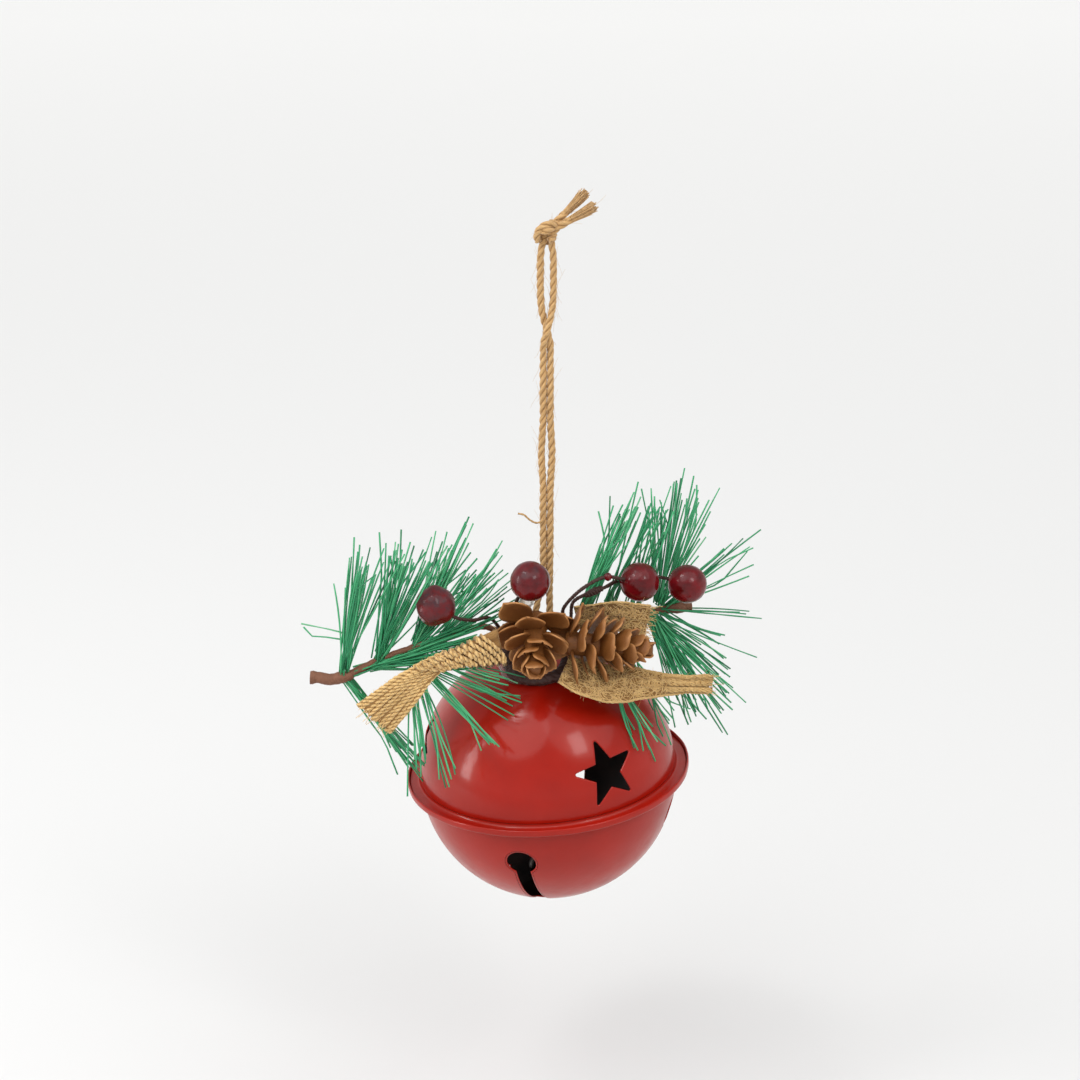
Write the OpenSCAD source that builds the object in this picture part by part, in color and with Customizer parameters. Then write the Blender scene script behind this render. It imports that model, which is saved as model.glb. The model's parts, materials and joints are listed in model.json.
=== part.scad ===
// Hanging jingle bell ornament: two pressed sheet-metal shells on a doubled twine loop,
// with a spray of pine, cones, berries and ribbon glued round the crown. Millimetres, +Z up.
// The origin is where the loop bears on its hook, and the bell hangs below it.

/* [Bell shells] */
// Outer diameter of the bell's body
bell_d = 80; // [70:1:96]
// Thickness of the pressed sheet
sheet_t = 0.6; // [0.4:0.05:0.8]
// Width of the crimped flange outside the body
flange_w = 4; // [3:0.25:6]
// Height of the lower shell's crimped lip above the parting plane
lip_h = 1.6; // [1.2:0.1:2.4]
// Radius of the fillet from the dome into its flange
dome_fillet = 1.2; // [0.6:0.1:2]
// Gap between the upper shell's flange and the lip around it
lip_gap = 0.2; // [0.1:0.05:0.4]
// Lean of the bell, turning its crown to the left
lean = 4.4; // [0:0.2:8]

/* [Cut-outs] */
// Distance from a star's centre to its points
star_r = 10; // [7:0.5:12]
// Distance from a star's centre to its inner corners
star_inner_r = 4.5; // [3:0.25:6]
// Rounding of each star point
star_tip_r = 0.5; // [0.3:0.1:0.8]
// Latitude of the star centres
star_lat = 20; // [14:1:30]
// Direction of the first star, to the right of the front
star_turn = 30; // [0:1:90]
// How far the stars are turned round from pointing straight to the left
star_spin = 12; // [0:1:36]
// Diameter of the round end of each sound slot
keyhole_d = 9; // [6:0.5:12]
// Width of the sound slots
slot_w = 4.5; // [3:0.25:6]
// From the bell's axis to where each slot of a keyhole ends
slot_end = 16; // [10:1:20]
// Latitude of the round ends, below the parting plane
keyhole_lat = 18.5; // [12:0.5:30]
// Direction of the first slot, to the left of the front
keyhole_turn = 14; // [0:1:45]

/* [Hanging eye] */
// Diameter of the eye's wire
eye_wire_d = 1.8; // [1.2:0.1:2.4]
// Diameter of the eye, to the middle of its wire
eye_d = 9.2; // [8.4:0.2:12]
// Angle that the pull of the twine has bent the eye over
eye_bend = 12; // [0:1:15]
// Length of each leg bent out under the crown
leg_l = 8; // [5:0.5:10]
// Gap between the wire and the crown's hole
crown_gap = 0.2; // [0.1:0.05:0.5]

/* [Jingle ball] */
// Diameter of the loose steel ball
ball_d = 12; // [10:0.5:16]
// Gap between the ball and the shell
ball_gap = 0.3; // [0.2:0.05:0.6]

/* [Twine] */
// Diameter of the twine
twine_d = 2; // [1.6:0.1:2.5]
// Gap between the loop's two strands where they lie together
strand_gap = 0.1; // [0.05:0.05:0.4]
// Gap between the twine and the eye's wire
bight_gap = 0.3; // [0.2:0.05:0.6]
// Gap between the turning end of the loop and the strands above it
turn_gap = 0.1; // [0.05:0.05:0.2]
// Diameter of the knot
knot_d = 8; // [6.5:0.5:10]

/* [Pinecones] */
// Diameter of the front cone
front_cone_d = 23; // [18:0.5:24]
// Diameter of the side cone
side_cone_d = 23; // [18:0.5:24]
// Tiers of scales on each cone
cone_tiers = 7; // [5:1:9]
// Depth of the gap between two tiers
scale_depth = 2.4; // [1:0.1:3.5]

/* [Berries and stems] */
// Diameter of the berries
berry_d = 12; // [10:0.5:13]
// Diameter of the berries' wire stems
stem_d = 1.2; // [0.8:0.1:1.6]
// Diameter of the small bud on a stem
bud_d = 2.4; // [2:0.1:3.2]
// Diameter of the taped bundle that holds the stems round the crown
binding_d = 4.4; // [3.6:0.2:5]

/* [Pine sprigs] */
// Diameter of the sprigs' taped stems
sprig_d = 3; // [2:0.1:3.6]
// Thickness of a needle
needle_d = 0.9; // [0.6:0.05:1.2]
// Length of the needles
needle_l = 34; // [28:1:38]
// Diameter of the sheath that each tuft grows from
sheath_d = 4.2; // [3.8:0.1:5]

/* [Ribbon] */
// Width of the ribbon
ribbon_w = 15; // [12:0.5:16]
// Thickness of the woven ribbon
ribbon_t = 0.8; // [0.5:0.1:1.2]

/* [Glue] */
// Angle that the whole spray sits forward of the crown's top
spray_tilt = 6.6; // [0:0.2:8]
// Radius of the middle of the glue ring round the crown
glue_ring_r = 12.5; // [11:0.5:14]
// Radius of the glue ring's bead
glue_bead_r = 4.2; // [3.4:0.1:4.6]
// Diameter of the glue drop at the foot of the twine
glue_drop_d = 4.4; // [3:0.2:5]

/* [Hidden] */

$fn = 64;
STAR_POINTS = 5;
STARS = 3;
TUBE_SIDES = 8;
NEEDLE_SIDES = 4;
GOLDEN_TURN = 137.5;
CUT = 0.01;
// Share of the wire's thickness left where each leg is bent out
LEG_FLATTENED = 0.85;

bell_r = bell_d / 2;
inner_r = bell_r - sheet_t;
flange_r = bell_r + flange_w;
flange_d = 2 * flange_r;
upper_flange_r = flange_r - sheet_t - lip_gap;
twine_r = twine_d / 2;
wire_r = eye_wire_d / 2;
eye_r = eye_d / 2;
stem_r = stem_d / 2;
crown_hole_r = eye_wire_d + 1.5 * crown_gap;
ball_orbit = inner_r - ball_gap - ball_d / 2;

// The eye stands on the crown, and its top wire is the bell's pivot.
eye_stand = eye_r + wire_r + crown_gap;
eye_rise = eye_stand + eye_r;
eye_top = [eye_rise * sin(eye_bend), 0, bell_r + eye_rise * cos(eye_bend)];
bight_r = wire_r + bight_gap + twine_r;

// The twine hangs down from the hook to its foot at the eye. The strands' sideways places
// are in half-spacings of the pair, and the heights are in millimetres.
strand_x = twine_r + strand_gap / 2;
foot = [-1.2, 0, -115.5];
strand_foot_z = -88;
strand_route = [
    [-1, 0, 4.5], [-1.7, 0, 0], [-1.8, 0, -5], [-1.8, 0, -10], [-1.6, 0, -15], [-1, 0.5, -19],
    [0, 1, -23], [0.9, 0.6, -27], [1, 0, -32], [1, 0, -38], [1, 0, -44], [1, 0, -50],
    [1.3, 0, -56], [1.5, 0, -61], [1.3, 0, -66], [1, 0, -72], [1, 0, -78], [1, 0, -83],
    [1, 0, strand_foot_z]
];
// The bight's legs as offsets from the twine's foot: the right one down to the eye, the left one up
right_leg = [[2.1, 0, 13], [2.1, 0, 7]];
left_leg = [[-1.5, 0, 7], [-0.2, 0, 13]];

// Everything glued to the bell is placed from the top of its crown, leaning forward with the spray.
front_cone_base = [0.5, -6.5, 18.5];
front_cone_tip = [-0.5, -28.5, 11];
side_cone_base = [12.5, -12, 11.8];
side_cone_tip = [37, -15, 11];

left_berry_at = [-28.5, -12, 28];
middle_berry_at = [0, -8.5, 32];
right_berry_at = [32.5, 7, 20.5];
far_right_berry_at = [47, 10, 17];
bud_at = [23, 3, 25.3];
wrap_at = [18.2, 2, 21];

left_stem_route = [left_berry_at, [-23, -12, 23.5], [-18, -10, 21], [-13, -4.5, 18], [-9.5, 0, 9]];
middle_stem_route = [middle_berry_at, [-4, -6, 25.5], [-6, -4, 20], [-8, -1.5, 14], [-9.5, 0.5, 9]];
right_stem_route = [
    [9.5, -1.5, 9], [9, -1.5, 14], [9, -1.5, 18], [13.5, -0.5, 22.5], [19, 1.5, 25], bud_at,
    [27, 4, 23.7], right_berry_at
];
far_right_stem_route = [
    [10.5, -1, 9], [11, 0, 14], [12, 1, 18.5], [16, 1.6, 20.6], wrap_at, [22, 3.5, 21.5],
    [26, 10.5, 19.5], [33, 15, 17.5], [39, 14.5, 17.5], far_right_berry_at
];
function over_dome(x, y, rise) = [x, y, sqrt(pow(bell_r, 2) - x * x - y * y) - bell_r + rise];
binding_route = [
    [-9.5, 2, 12], [-10.5, -1, 8], over_dome(-10.5, -6, 4.9), over_dome(-8, -11, 3),
    over_dome(-3, -13.5, 2.5), over_dome(3, -13.5, 2.5), over_dome(8, -11, 3),
    over_dome(10.5, -6, 4.9), [10.5, -2, 8], [9.5, -0.5, 12]
];

left_sprig_route = [
    [-67.5, -18, 10], [-58.5, -18, 9], [-48, -15, 12], [-36, -12, 14.5], [-25, -8, 15.5],
    [-17, -1, 13.5], [-12, 4, 9], [-9.5, 3, 8]
];
right_sprig_route = [
    [48, 22, 2.5], [40, 20, 3], [32, 16, 4.5], [24, 11, 8], [16, 6, 10.5], [11.5, 3, 9.5],
    [10.5, -0.5, 8]
];

// A point at a gap outside the dome, the given way from the bell's centre
function beside_dome(way, gap) = unit(way) * (bell_r + gap) - [0, 0, bell_r];

// Tufts of needles: where each one grows, the way it aims, its spread and its count
left_tufts = [
    [left_sprig_route[1], [0, 0.1, 1], 26, 7],
    [left_sprig_route[1], beside_dome([-37.3, -16.2, 22.5], 6.5) - left_sprig_route[1], 12, 4],
    [left_sprig_route[2], [0.1, 0.2, 1], 26, 9],
    [left_sprig_route[3], [0.1, 0.8, 1], 21, 9],
    [left_sprig_route[3], beside_dome([-27.5, -28.9, 26.3], 7.7) - left_sprig_route[3], 11, 5],
    [left_sprig_route[4], [0, 0.7, 0.8], 22, 7]
];
right_tufts = [
    [right_sprig_route[1], [0, 0.3, 1], 26, 9],
    [right_sprig_route[1], [0.9, 0.25, 0.2], 22, 7],
    [right_sprig_route[1], [0.5, -0.2, -1], 20, 6],
    [right_sprig_route[2], beside_dome([43.8, 4.2, 14.9], 6.5) - right_sprig_route[2], 12, 4],
    [right_sprig_route[3], [0, 0.3, 1], 20, 6]
];

// Ribbon stations: middle of the ribbon, the way its width points, and its share of the width
left_ribbon = [
    [[-10, -17, 15.5], [-0.1, 0.35, 1], 0.75], [[-17, -19, 15], [0, 0.3, 1], 0.6],
    [[-24, -20, 14], [0.1, 0.2, 1], 0.38], [[-28, -20.5, 13.3], [0.2, 0.1, 1], 0.3],
    [[-33, -22, 11], [-0.3, 0.05, 1], 0.45], [[-39, -24, 7], [-0.5, 0, 1], 0.7],
    [[-44, -25, 3], [-0.6, 0, 1], 0.88], [[-49, -26, -1], [-0.7, 0, 1], 1]
];
upper_ribbon = [
    [[13, 1, 11.5], [0, -0.2, 1], 0.8], [[19, 1.5, 12.5], [0, -0.2, 1], 0.7],
    [[25, 1.2, 12.5], [0, -0.1, 1], 0.7], [[30, 0.8, 11], [0, 0, 1], 0.7], [[34, 0.6, 10], [0, 0, 1], 0.75]
];
lower_ribbon = [
    [[8, -18, 6.5], [0, 1, 0.4], 0.7], [[14, -20.5, 1.5], [0, 1, -0.1], 0.9],
    [[21, -20.5, -2], [0, 1, -0.25], 1], [[28, -18.5, -3.5], [0, 1, -0.2], 1],
    [[34, -16.5, -3.5], [0.1, 1, 0.1], 0.9], [[40, -15, -3], [0.1, 0.8, 0.6], 0.7],
    [[45.5, -14.3, -3.2], [0.1, 0.3, 1], 0.5], [[51, -14, -3.6], [0.1, 0.1, 1], 0.42]
];

// ---- Placing ----
function unit(v) = v / norm(v);
function heading(path, i) = unit(path[min(i + 1, len(path) - 1)] - path[max(i - 1, 0)]);

module in_bell() {
    translate(foot)
        rotate([0, -lean, 0])
            translate(-eye_top)
                children();
}

module on_crown() {
    in_bell()
        rotate([spray_tilt, 0, 0])
            translate([0, 0, bell_r])
                children();
}

// Turns children that stand along +Z to point along a direction.
module aim(direction) {
    flat = norm([direction[0], direction[1]]);
    rotate([0, atan2(flat, direction[2]), atan2(direction[1], direction[0])])
        children();
}

// Puts a cutter, made along +Z, through the sphere at a direction round the bell and a latitude.
module at_sphere(turn, latitude) {
    rotate([0, 0, turn])
        rotate([90 - latitude, 0, 0])
            translate([0, 0, bell_r * cos(45)])
                children();
}

// ---- Swept shapes ----
// A round tube along a route. The sides keep their place by a direction that no stretch runs along.
module tube(path, radius, keep = [0, 1, 0]) {
    last = len(path) - 1;
    rings = [for (i = [0:last])
        let (t = heading(path, i), u = unit(cross(keep, t)), v = cross(t, u))
        for (k = [0:TUBE_SIDES - 1])
            let (a = 360 * k / TUBE_SIDES)
            path[i] + radius * (cos(a) * u + sin(a) * v)];
    loft(rings, TUBE_SIDES, last);
}

// A flat strip along stations of [middle, width direction, share of the width].
module strip(stations, width, thickness) {
    last = len(stations) - 1;
    middles = [for (s = stations) s[0]];
    rings = [for (i = [0:last])
        let (t = heading(middles, i), n = unit(cross(stations[i][1], t)), w = unit(cross(t, n)),
            half = width * stations[i][2] / 2)
        for (c = [[1, 1], [-1, 1], [-1, -1], [1, -1]])
            middles[i] + c[0] * half * w + c[1] * thickness / 2 * n];
    loft(rings, 4, last);
}

// Joins rings of points, turning anticlockwise about the way they run, into a closed solid.
module loft(rings, sides, last) {
    walls = [for (i = [0:last - 1])
        for (k = [0:sides - 1])
            let (a = i * sides + k, b = i * sides + (k + 1) % sides)
            each [[a, a + sides, b + sides], [a, b + sides, b]]];
    start_cap = [for (k = [0:sides - 1]) k];
    end_cap = [for (k = [sides - 1:-1:0]) last * sides + k];
    polyhedron(points = rings, faces = concat([start_cap], walls, [end_cap]));
}

// ---- Bell ----
function star_outline() = [for (p = [0:STAR_POINTS - 1])
    let (a = 360 * p / STAR_POINTS)
    each concat(
        [for (k = [-70:35:70])
            (star_r - star_tip_r) * [cos(a), sin(a)] + star_tip_r * [cos(a + k), sin(a + k)]],
        [star_inner_r * [cos(a + 180 / STAR_POINTS), sin(a + 180 / STAR_POINTS)]])];

// The first star has a point to its left, and the next one a point to its right.
module star_cutters() {
    for (s = [0:STARS - 1])
        at_sphere(star_turn - 360 * s / STARS, star_lat)
            rotate([0, 0, s == 1 ? 0 : 180 - star_spin])
                linear_extrude(height = bell_r)
                    polygon(star_outline());
}

module keyhole_cutters() {
    for (q = [0:3])
        at_sphere(90 * q - keyhole_turn, -keyhole_lat)
            cylinder(h = bell_r, d = keyhole_d);
    slot_top = bell_r * sin(keyhole_lat);
    for (q = [0:3])
        rotate([0, 0, 90 * q - keyhole_turn])
            translate([slot_end, -slot_w / 2, -bell_r - CUT])
                cube([flange_r - slot_end, slot_w, bell_r + CUT - slot_top]);
}

module dome_fillet_ring() {
    seat_r = sqrt(pow(bell_r, 2) - pow(sheet_t, 2));
    far = seat_r + dome_fillet;
    rotate_extrude()
        polygon(concat(
            [[seat_r - sheet_t / 2, sheet_t / 2], [far, sheet_t / 2]],
            [for (a = [0:15:90]) [far - dome_fillet * sin(a), sheet_t + dome_fillet * (1 - cos(a))]]));
}

module upper_shell() {
    color("firebrick")
        in_bell()
            difference() {
                union() {
                    difference() {
                        sphere(r = bell_r);
                        translate([-flange_r, -flange_r, -flange_d])
                            cube(flange_d);
                    }
                    cylinder(h = sheet_t, r = upper_flange_r);
                    dome_fillet_ring();
                }
                sphere(r = inner_r);
                cylinder(h = flange_d, r = crown_hole_r);
                star_cutters();
            }
}

module lower_shell() {
    color("firebrick")
        in_bell()
            difference() {
                union() {
                    difference() {
                        sphere(r = bell_r);
                        translate([-flange_r, -flange_r, 0])
                            cube(flange_d);
                    }
                    translate([0, 0, -sheet_t])
                        cylinder(h = sheet_t, r = flange_r);
                    crimped_lip();
                }
                sphere(r = inner_r);
                keyhole_cutters();
            }
}

module crimped_lip() {
    lip_r = sheet_t / 2;
    rotate_extrude()
        union() {
            translate([flange_r - sheet_t, -lip_r])
                square([sheet_t, lip_h]);
            translate([flange_r - lip_r, lip_h - lip_r])
                circle(r = lip_r);
        }
}

module hanging_eye() {
    leg_z = sqrt(pow(inner_r, 2) - pow(leg_l, 2)) - crown_gap - wire_r;
    leg_y = wire_r + crown_gap / 2;
    color("silver")
        in_bell() {
            translate([0, 0, bell_r])
                rotate([0, eye_bend, 0])
                    translate([0, 0, eye_stand])
                        rotate([90, 0, 90])
                            rotate_extrude()
                                translate([eye_r, 0])
                                    circle(r = wire_r);
            for (side = [-1, 1])
                translate([0, side * leg_y, leg_z]) {
                    translate([0, 0, -wire_r])
                        cylinder(h = bell_r + 2 * wire_r - leg_z, r = wire_r);
                    rotate([-90 * side, 0, 0])
                        cylinder(h = leg_l - leg_y, r = wire_r * LEG_FLATTENED);
                }
        }
}

module jingle_ball() {
    color("gray")
        in_bell()
            rotate([0, lean, 0])
                translate([0, 0, -ball_orbit])
                    sphere(d = ball_d);
}

// ---- Twine ----
function strand(side) = [for (p = strand_route) [side * strand_x * p[0], side * strand_x * p[1], p[2]]];

module twine_left() {
    color("burlywood")
        tube(strand(1), twine_r);
}

module twine_right() {
    color("burlywood")
        tube(strand(-1), twine_r);
}

module twine_bight() {
    top = strand_foot_z - turn_gap;
    bend = [for (a = [0:30:180]) foot + bight_r * [cos(a), 0, -sin(a)]];
    path = concat(
        [[strand_x, 0, top], [strand_x, 0, top - twine_d], [strand_x, 0, top - 4 * twine_d]],
        [for (p = right_leg) foot + p],
        bend,
        [for (p = left_leg) foot + p],
        [[-strand_x, 0, top - 4 * twine_d], [-strand_x, 0, top - twine_d], [-strand_x, 0, top]]);
    color("burlywood")
        tube(path, twine_r);
}

// The knot sits just above the hook, with the two ends of the twine coming out to the right.
module twine_knot() {
    color("burlywood")
        translate([0, 0, 3 + knot_d / 2])
            union() {
                sphere(d = knot_d * 0.8);
                rotate([0, 70, 0])
                    rotate_extrude()
                        translate([knot_d / 2 - twine_r, 0])
                            circle(r = twine_r);
            }
}

module twine_tails() {
    color("burlywood") {
        tube([[2, twine_r * 1.1, 8.5], [6, twine_r * 1.1, 12.5], [9, twine_r * 1.2, 15.5],
            [11.5, twine_r * 1.4, 18.5]], twine_r);
        tube([[2, -twine_r * 1.1, 7.5], [6.5, -twine_r * 1.1, 10.3], [10.5, -twine_r * 1.2, 12.6],
            [14.5, -twine_r * 1.4, 15]], twine_r);
    }
}

// ---- Crown: bound stems and glue ----
module stem_binding() {
    color("saddlebrown")
        on_crown()
            tube(binding_route, binding_d / 2, [0, 0.5, -1]);
}

module glue_ring() {
    color("ivory")
        on_crown()
            translate([0, 0, -bell_r])
                difference() {
                    rotate_extrude()
                        translate([glue_ring_r, sqrt(pow(bell_r, 2) - pow(glue_ring_r, 2))])
                            circle(r = glue_bead_r);
                    sphere(r = bell_r);
                }
}

module glue_drop() {
    color("ivory")
        on_crown()
            translate([-1.6, -4.5, 23.5])
                sphere(d = glue_drop_d);
}

// ---- Pinecones ----
// How far a cone's scales reach, as a share of its radius, along its length
function cone_reach(t) = pow(sin(180 * pow(t, 0.75)), 0.55);

module pinecone(base, tip, diameter) {
    length = norm(tip - base);
    tiers = [for (i = [0:cone_tiers - 1])
        let (a = (i + 0.15) / cone_tiers, b = (i + 0.75) / cone_tiers,
            reach = cone_reach((a + b) / 2) * diameter / 2)
        each [[max(1, reach - scale_depth), a * length], [reach, b * length]]];
    translate(base)
        aim(tip - base)
            rotate_extrude()
                polygon(concat([[0, 0]], tiers, [[0, length]]));
}

module front_pinecone() {
    color("sienna")
        on_crown()
            pinecone(front_cone_base, front_cone_tip, front_cone_d);
}

module side_pinecone() {
    color("sienna")
        on_crown()
            pinecone(side_cone_base, side_cone_tip, side_cone_d);
}

// ---- Berries and their stems ----
module berry(at) {
    color("maroon")
        on_crown()
            translate(at)
                sphere(d = berry_d);
}

module wire_stem(route) {
    color("saddlebrown")
        on_crown()
            tube(route, stem_r, [0.2, 1, 0.1]);
}

module stem_bud() {
    color("maroon")
        on_crown()
            translate(bud_at)
                sphere(d = bud_d);
}

module stem_wrap() {
    color("saddlebrown")
        on_crown()
            translate(wrap_at)
                aim([4, 1.5, 1])
                    cylinder(h = 3 * stem_d, d = 2 * stem_d, center = true);
}

// ---- Pine sprigs ----
module sprig_stem(route) {
    color("peru")
        on_crown()
            tube(route, sprig_d / 2, [0.1, 1, 0.3]);
}

// Needles spread round the tuft's direction in a sunflower order.
module tuft(at, direction, spread, count) {
    translate(at)
        aim(direction) {
            sphere(d = sheath_d);
            for (i = [0:count - 1])
                rotate([0, spread * sqrt((i + 0.5) / count), GOLDEN_TURN * i])
                    cylinder(h = needle_l, d = needle_d, $fn = NEEDLE_SIDES);
        }
}

module sprig_needles(tufts) {
    color("seagreen")
        on_crown()
            for (t = tufts)
                tuft(t[0], t[1], t[2], t[3]);
}

// ---- Ribbon ----
module ribbon(stations) {
    color("tan")
        on_crown()
            strip(stations, ribbon_w, ribbon_t);
}

upper_shell();
lower_shell();
hanging_eye();
jingle_ball();
twine_left();
twine_right();
twine_bight();
twine_knot();
twine_tails();
stem_binding();
glue_ring();
glue_drop();
front_pinecone();
side_pinecone();
berry(left_berry_at);  // berry_left
berry(middle_berry_at);  // berry_middle
berry(right_berry_at);  // berry_right
berry(far_right_berry_at);  // berry_far_right
wire_stem(left_stem_route);  // stem_left
wire_stem(middle_stem_route);  // stem_middle
wire_stem(right_stem_route);  // stem_right
wire_stem(far_right_stem_route);  // stem_far_right
stem_bud();
stem_wrap();
sprig_stem(left_sprig_route);  // left_sprig_stem
sprig_needles(left_tufts);  // left_sprig_needles
sprig_stem(right_sprig_route);  // right_sprig_stem
sprig_needles(right_tufts);  // right_sprig_needles
ribbon(left_ribbon);  // ribbon_left
ribbon(upper_ribbon);  // ribbon_upper
ribbon(lower_ribbon);  // ribbon_lower
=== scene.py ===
"""Christmas bell ornament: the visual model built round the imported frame. Metres, +Z up."""
import json
import math
import random

import bmesh
import bpy
import numpy as np
from mathutils import Matrix, Vector, noise
from mathutils.geometry import delaunay_2d_cdt


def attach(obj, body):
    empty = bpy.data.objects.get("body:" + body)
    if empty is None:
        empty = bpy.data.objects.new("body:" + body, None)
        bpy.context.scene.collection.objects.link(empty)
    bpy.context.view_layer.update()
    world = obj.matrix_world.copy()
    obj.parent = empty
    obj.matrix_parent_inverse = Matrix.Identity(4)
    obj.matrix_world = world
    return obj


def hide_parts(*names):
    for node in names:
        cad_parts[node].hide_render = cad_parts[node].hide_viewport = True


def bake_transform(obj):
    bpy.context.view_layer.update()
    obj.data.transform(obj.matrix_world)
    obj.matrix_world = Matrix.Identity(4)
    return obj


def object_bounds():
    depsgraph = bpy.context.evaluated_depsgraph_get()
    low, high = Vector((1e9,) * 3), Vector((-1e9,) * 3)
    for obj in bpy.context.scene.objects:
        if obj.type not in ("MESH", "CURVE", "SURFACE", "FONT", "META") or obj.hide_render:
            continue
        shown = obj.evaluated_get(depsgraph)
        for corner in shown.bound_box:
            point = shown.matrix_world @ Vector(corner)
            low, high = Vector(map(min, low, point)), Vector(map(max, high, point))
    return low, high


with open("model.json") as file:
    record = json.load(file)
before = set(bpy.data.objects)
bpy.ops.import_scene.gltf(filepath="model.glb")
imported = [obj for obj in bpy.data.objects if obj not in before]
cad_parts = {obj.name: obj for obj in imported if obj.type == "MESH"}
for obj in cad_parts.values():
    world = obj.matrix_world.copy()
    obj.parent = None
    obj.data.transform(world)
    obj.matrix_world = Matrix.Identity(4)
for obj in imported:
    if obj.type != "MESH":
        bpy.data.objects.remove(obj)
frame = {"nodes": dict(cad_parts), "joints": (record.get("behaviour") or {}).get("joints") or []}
cad_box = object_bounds()

MM = 0.001
GOLDEN_TURN = math.radians(137.5)

# ---- Places, from the frame's joints and the part's own sizes (millimetres) ----
joints = {j["name"]: j for j in frame["joints"]}
FOOT = Vector(joints["bell_tilt"]["pos_m"])
CENTRE = Vector(joints["ball_roll"]["pos_m"])
LEAN = math.radians(4.4)
BELL_R = 40.0
SHEET_T = 0.6
CROWN_HOLE_R = 2.1
SPRAY_TILT = math.radians(6.6)
BELL = Matrix.Translation(CENTRE) @ Matrix.Rotation(-LEAN, 4, "Y")
CROWN = BELL @ Matrix.Rotation(SPRAY_TILT, 4, "X") @ Matrix.Translation((0, 0, BELL_R * MM))


def placed(points, matrix):
    """Points in millimetres in a frame, as an array in metres in the row frame."""
    p = np.asarray(points, float) * MM
    m = np.array(matrix)
    return p @ m[:3, :3].T + m[:3, 3]


# ---- Camera: in front of the bell and a little above its crown ----
CAMERA_ELEVATION = math.radians(21.4)
CAMERA_DISTANCE = 0.797
CAMERA_TARGET = CENTRE + Vector((-2.5, 26.1, 66.7)) * MM


def add_camera():
    back = Vector((0, -math.cos(CAMERA_ELEVATION), math.sin(CAMERA_ELEVATION)))
    data = bpy.data.cameras.new("camera")
    data.lens = 85
    data.sensor_width = 36
    camera = bpy.data.objects.new("camera", data)
    bpy.context.collection.objects.link(camera)
    camera.location = CAMERA_TARGET + back * CAMERA_DISTANCE
    camera.rotation_euler = (math.pi / 2 - CAMERA_ELEVATION, 0, 0)
    bpy.context.scene.camera = camera


add_camera()


# ---- Node materials ----
class Shader:
    """A Principled material and short calls for the nodes that feed it."""

    def __init__(self, name, roughness=0.5, **sockets):
        self.material = bpy.data.materials.new(name)
        self.material.use_nodes = True
        self.nodes = self.material.node_tree.nodes
        self.links = self.material.node_tree.links
        self.bsdf = self.nodes["Principled BSDF"]
        self.bsdf.inputs["Roughness"].default_value = roughness
        for socket, value in sockets.items():
            self.bsdf.inputs[socket.replace("_", " ")].default_value = value

    def node(self, kind, **values):
        n = self.nodes.new(kind)
        for key, value in values.items():
            if hasattr(n, key):
                setattr(n, key, value)
            else:
                n.inputs[key.replace("_", " ")].default_value = value
        return n

    def link(self, out, socket):
        self.links.new(out, self.bsdf.inputs[socket] if isinstance(socket, str) else socket)

    def coordinates(self, scale=(1, 1, 1), attribute=None):
        """Object coordinates, or a stored attribute, times a scale."""
        if attribute:
            source = self.node("ShaderNodeAttribute", attribute_name=attribute).outputs["Vector"]
        else:
            source = self.node("ShaderNodeTexCoord").outputs["Object"]
        mapping = self.node("ShaderNodeMapping", Scale=scale)
        self.links.new(source, mapping.inputs["Vector"])
        return mapping.outputs["Vector"]

    def noise(self, vector, scale, detail=3.0, roughness=0.5):
        n = self.node("ShaderNodeTexNoise", Scale=scale, Detail=detail, Roughness=roughness)
        self.links.new(vector, n.inputs["Vector"])
        return n.outputs["Fac"]

    def tone(self, name="tone"):
        return self.node("ShaderNodeAttribute", attribute_name=name).outputs["Fac"]

    def ramp(self, factor, *stops):
        n = self.node("ShaderNodeValToRGB")
        self.links.new(factor, n.inputs["Fac"])
        ramp = n.color_ramp
        while len(ramp.elements) < len(stops):
            ramp.elements.new(0.5)
        for element, (place, colour) in zip(ramp.elements, stops):
            element.position = place
            element.color = (*colour, 1)
        return n.outputs["Color"]

    def mix(self, factor, a, b, blend="MIX"):
        n = self.node("ShaderNodeMix", data_type="RGBA", blend_type=blend)
        for value, socket in ((factor, n.inputs["Factor"]), (a, n.inputs["A"]), (b, n.inputs["B"])):
            colour = [s for s in n.inputs if s.name == socket.name and s.type == "RGBA"]
            socket = colour[0] if socket.name in "AB" and colour else socket
            if isinstance(value, bpy.types.NodeSocket):
                self.links.new(value, socket)
            else:
                socket.default_value = (*value, 1) if isinstance(value, tuple) else value
        return [s for s in n.outputs if s.type == "RGBA"][0]

    def spread(self, factor, low, high, from_low=0.0, from_high=1.0):
        n = self.node("ShaderNodeMapRange")
        self.links.new(factor, n.inputs["Value"])
        n.inputs["From Min"].default_value = from_low
        n.inputs["From Max"].default_value = from_high
        n.inputs["To Min"].default_value = low
        n.inputs["To Max"].default_value = high
        return n.outputs["Result"]

    def bump(self, height, distance, strength=1.0, under=None):
        n = self.node("ShaderNodeBump", Strength=strength, Distance=distance)
        self.links.new(height, n.inputs["Height"])
        if under is not None:
            self.links.new(under, n.inputs["Normal"])
        return n.outputs["Normal"]


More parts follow.
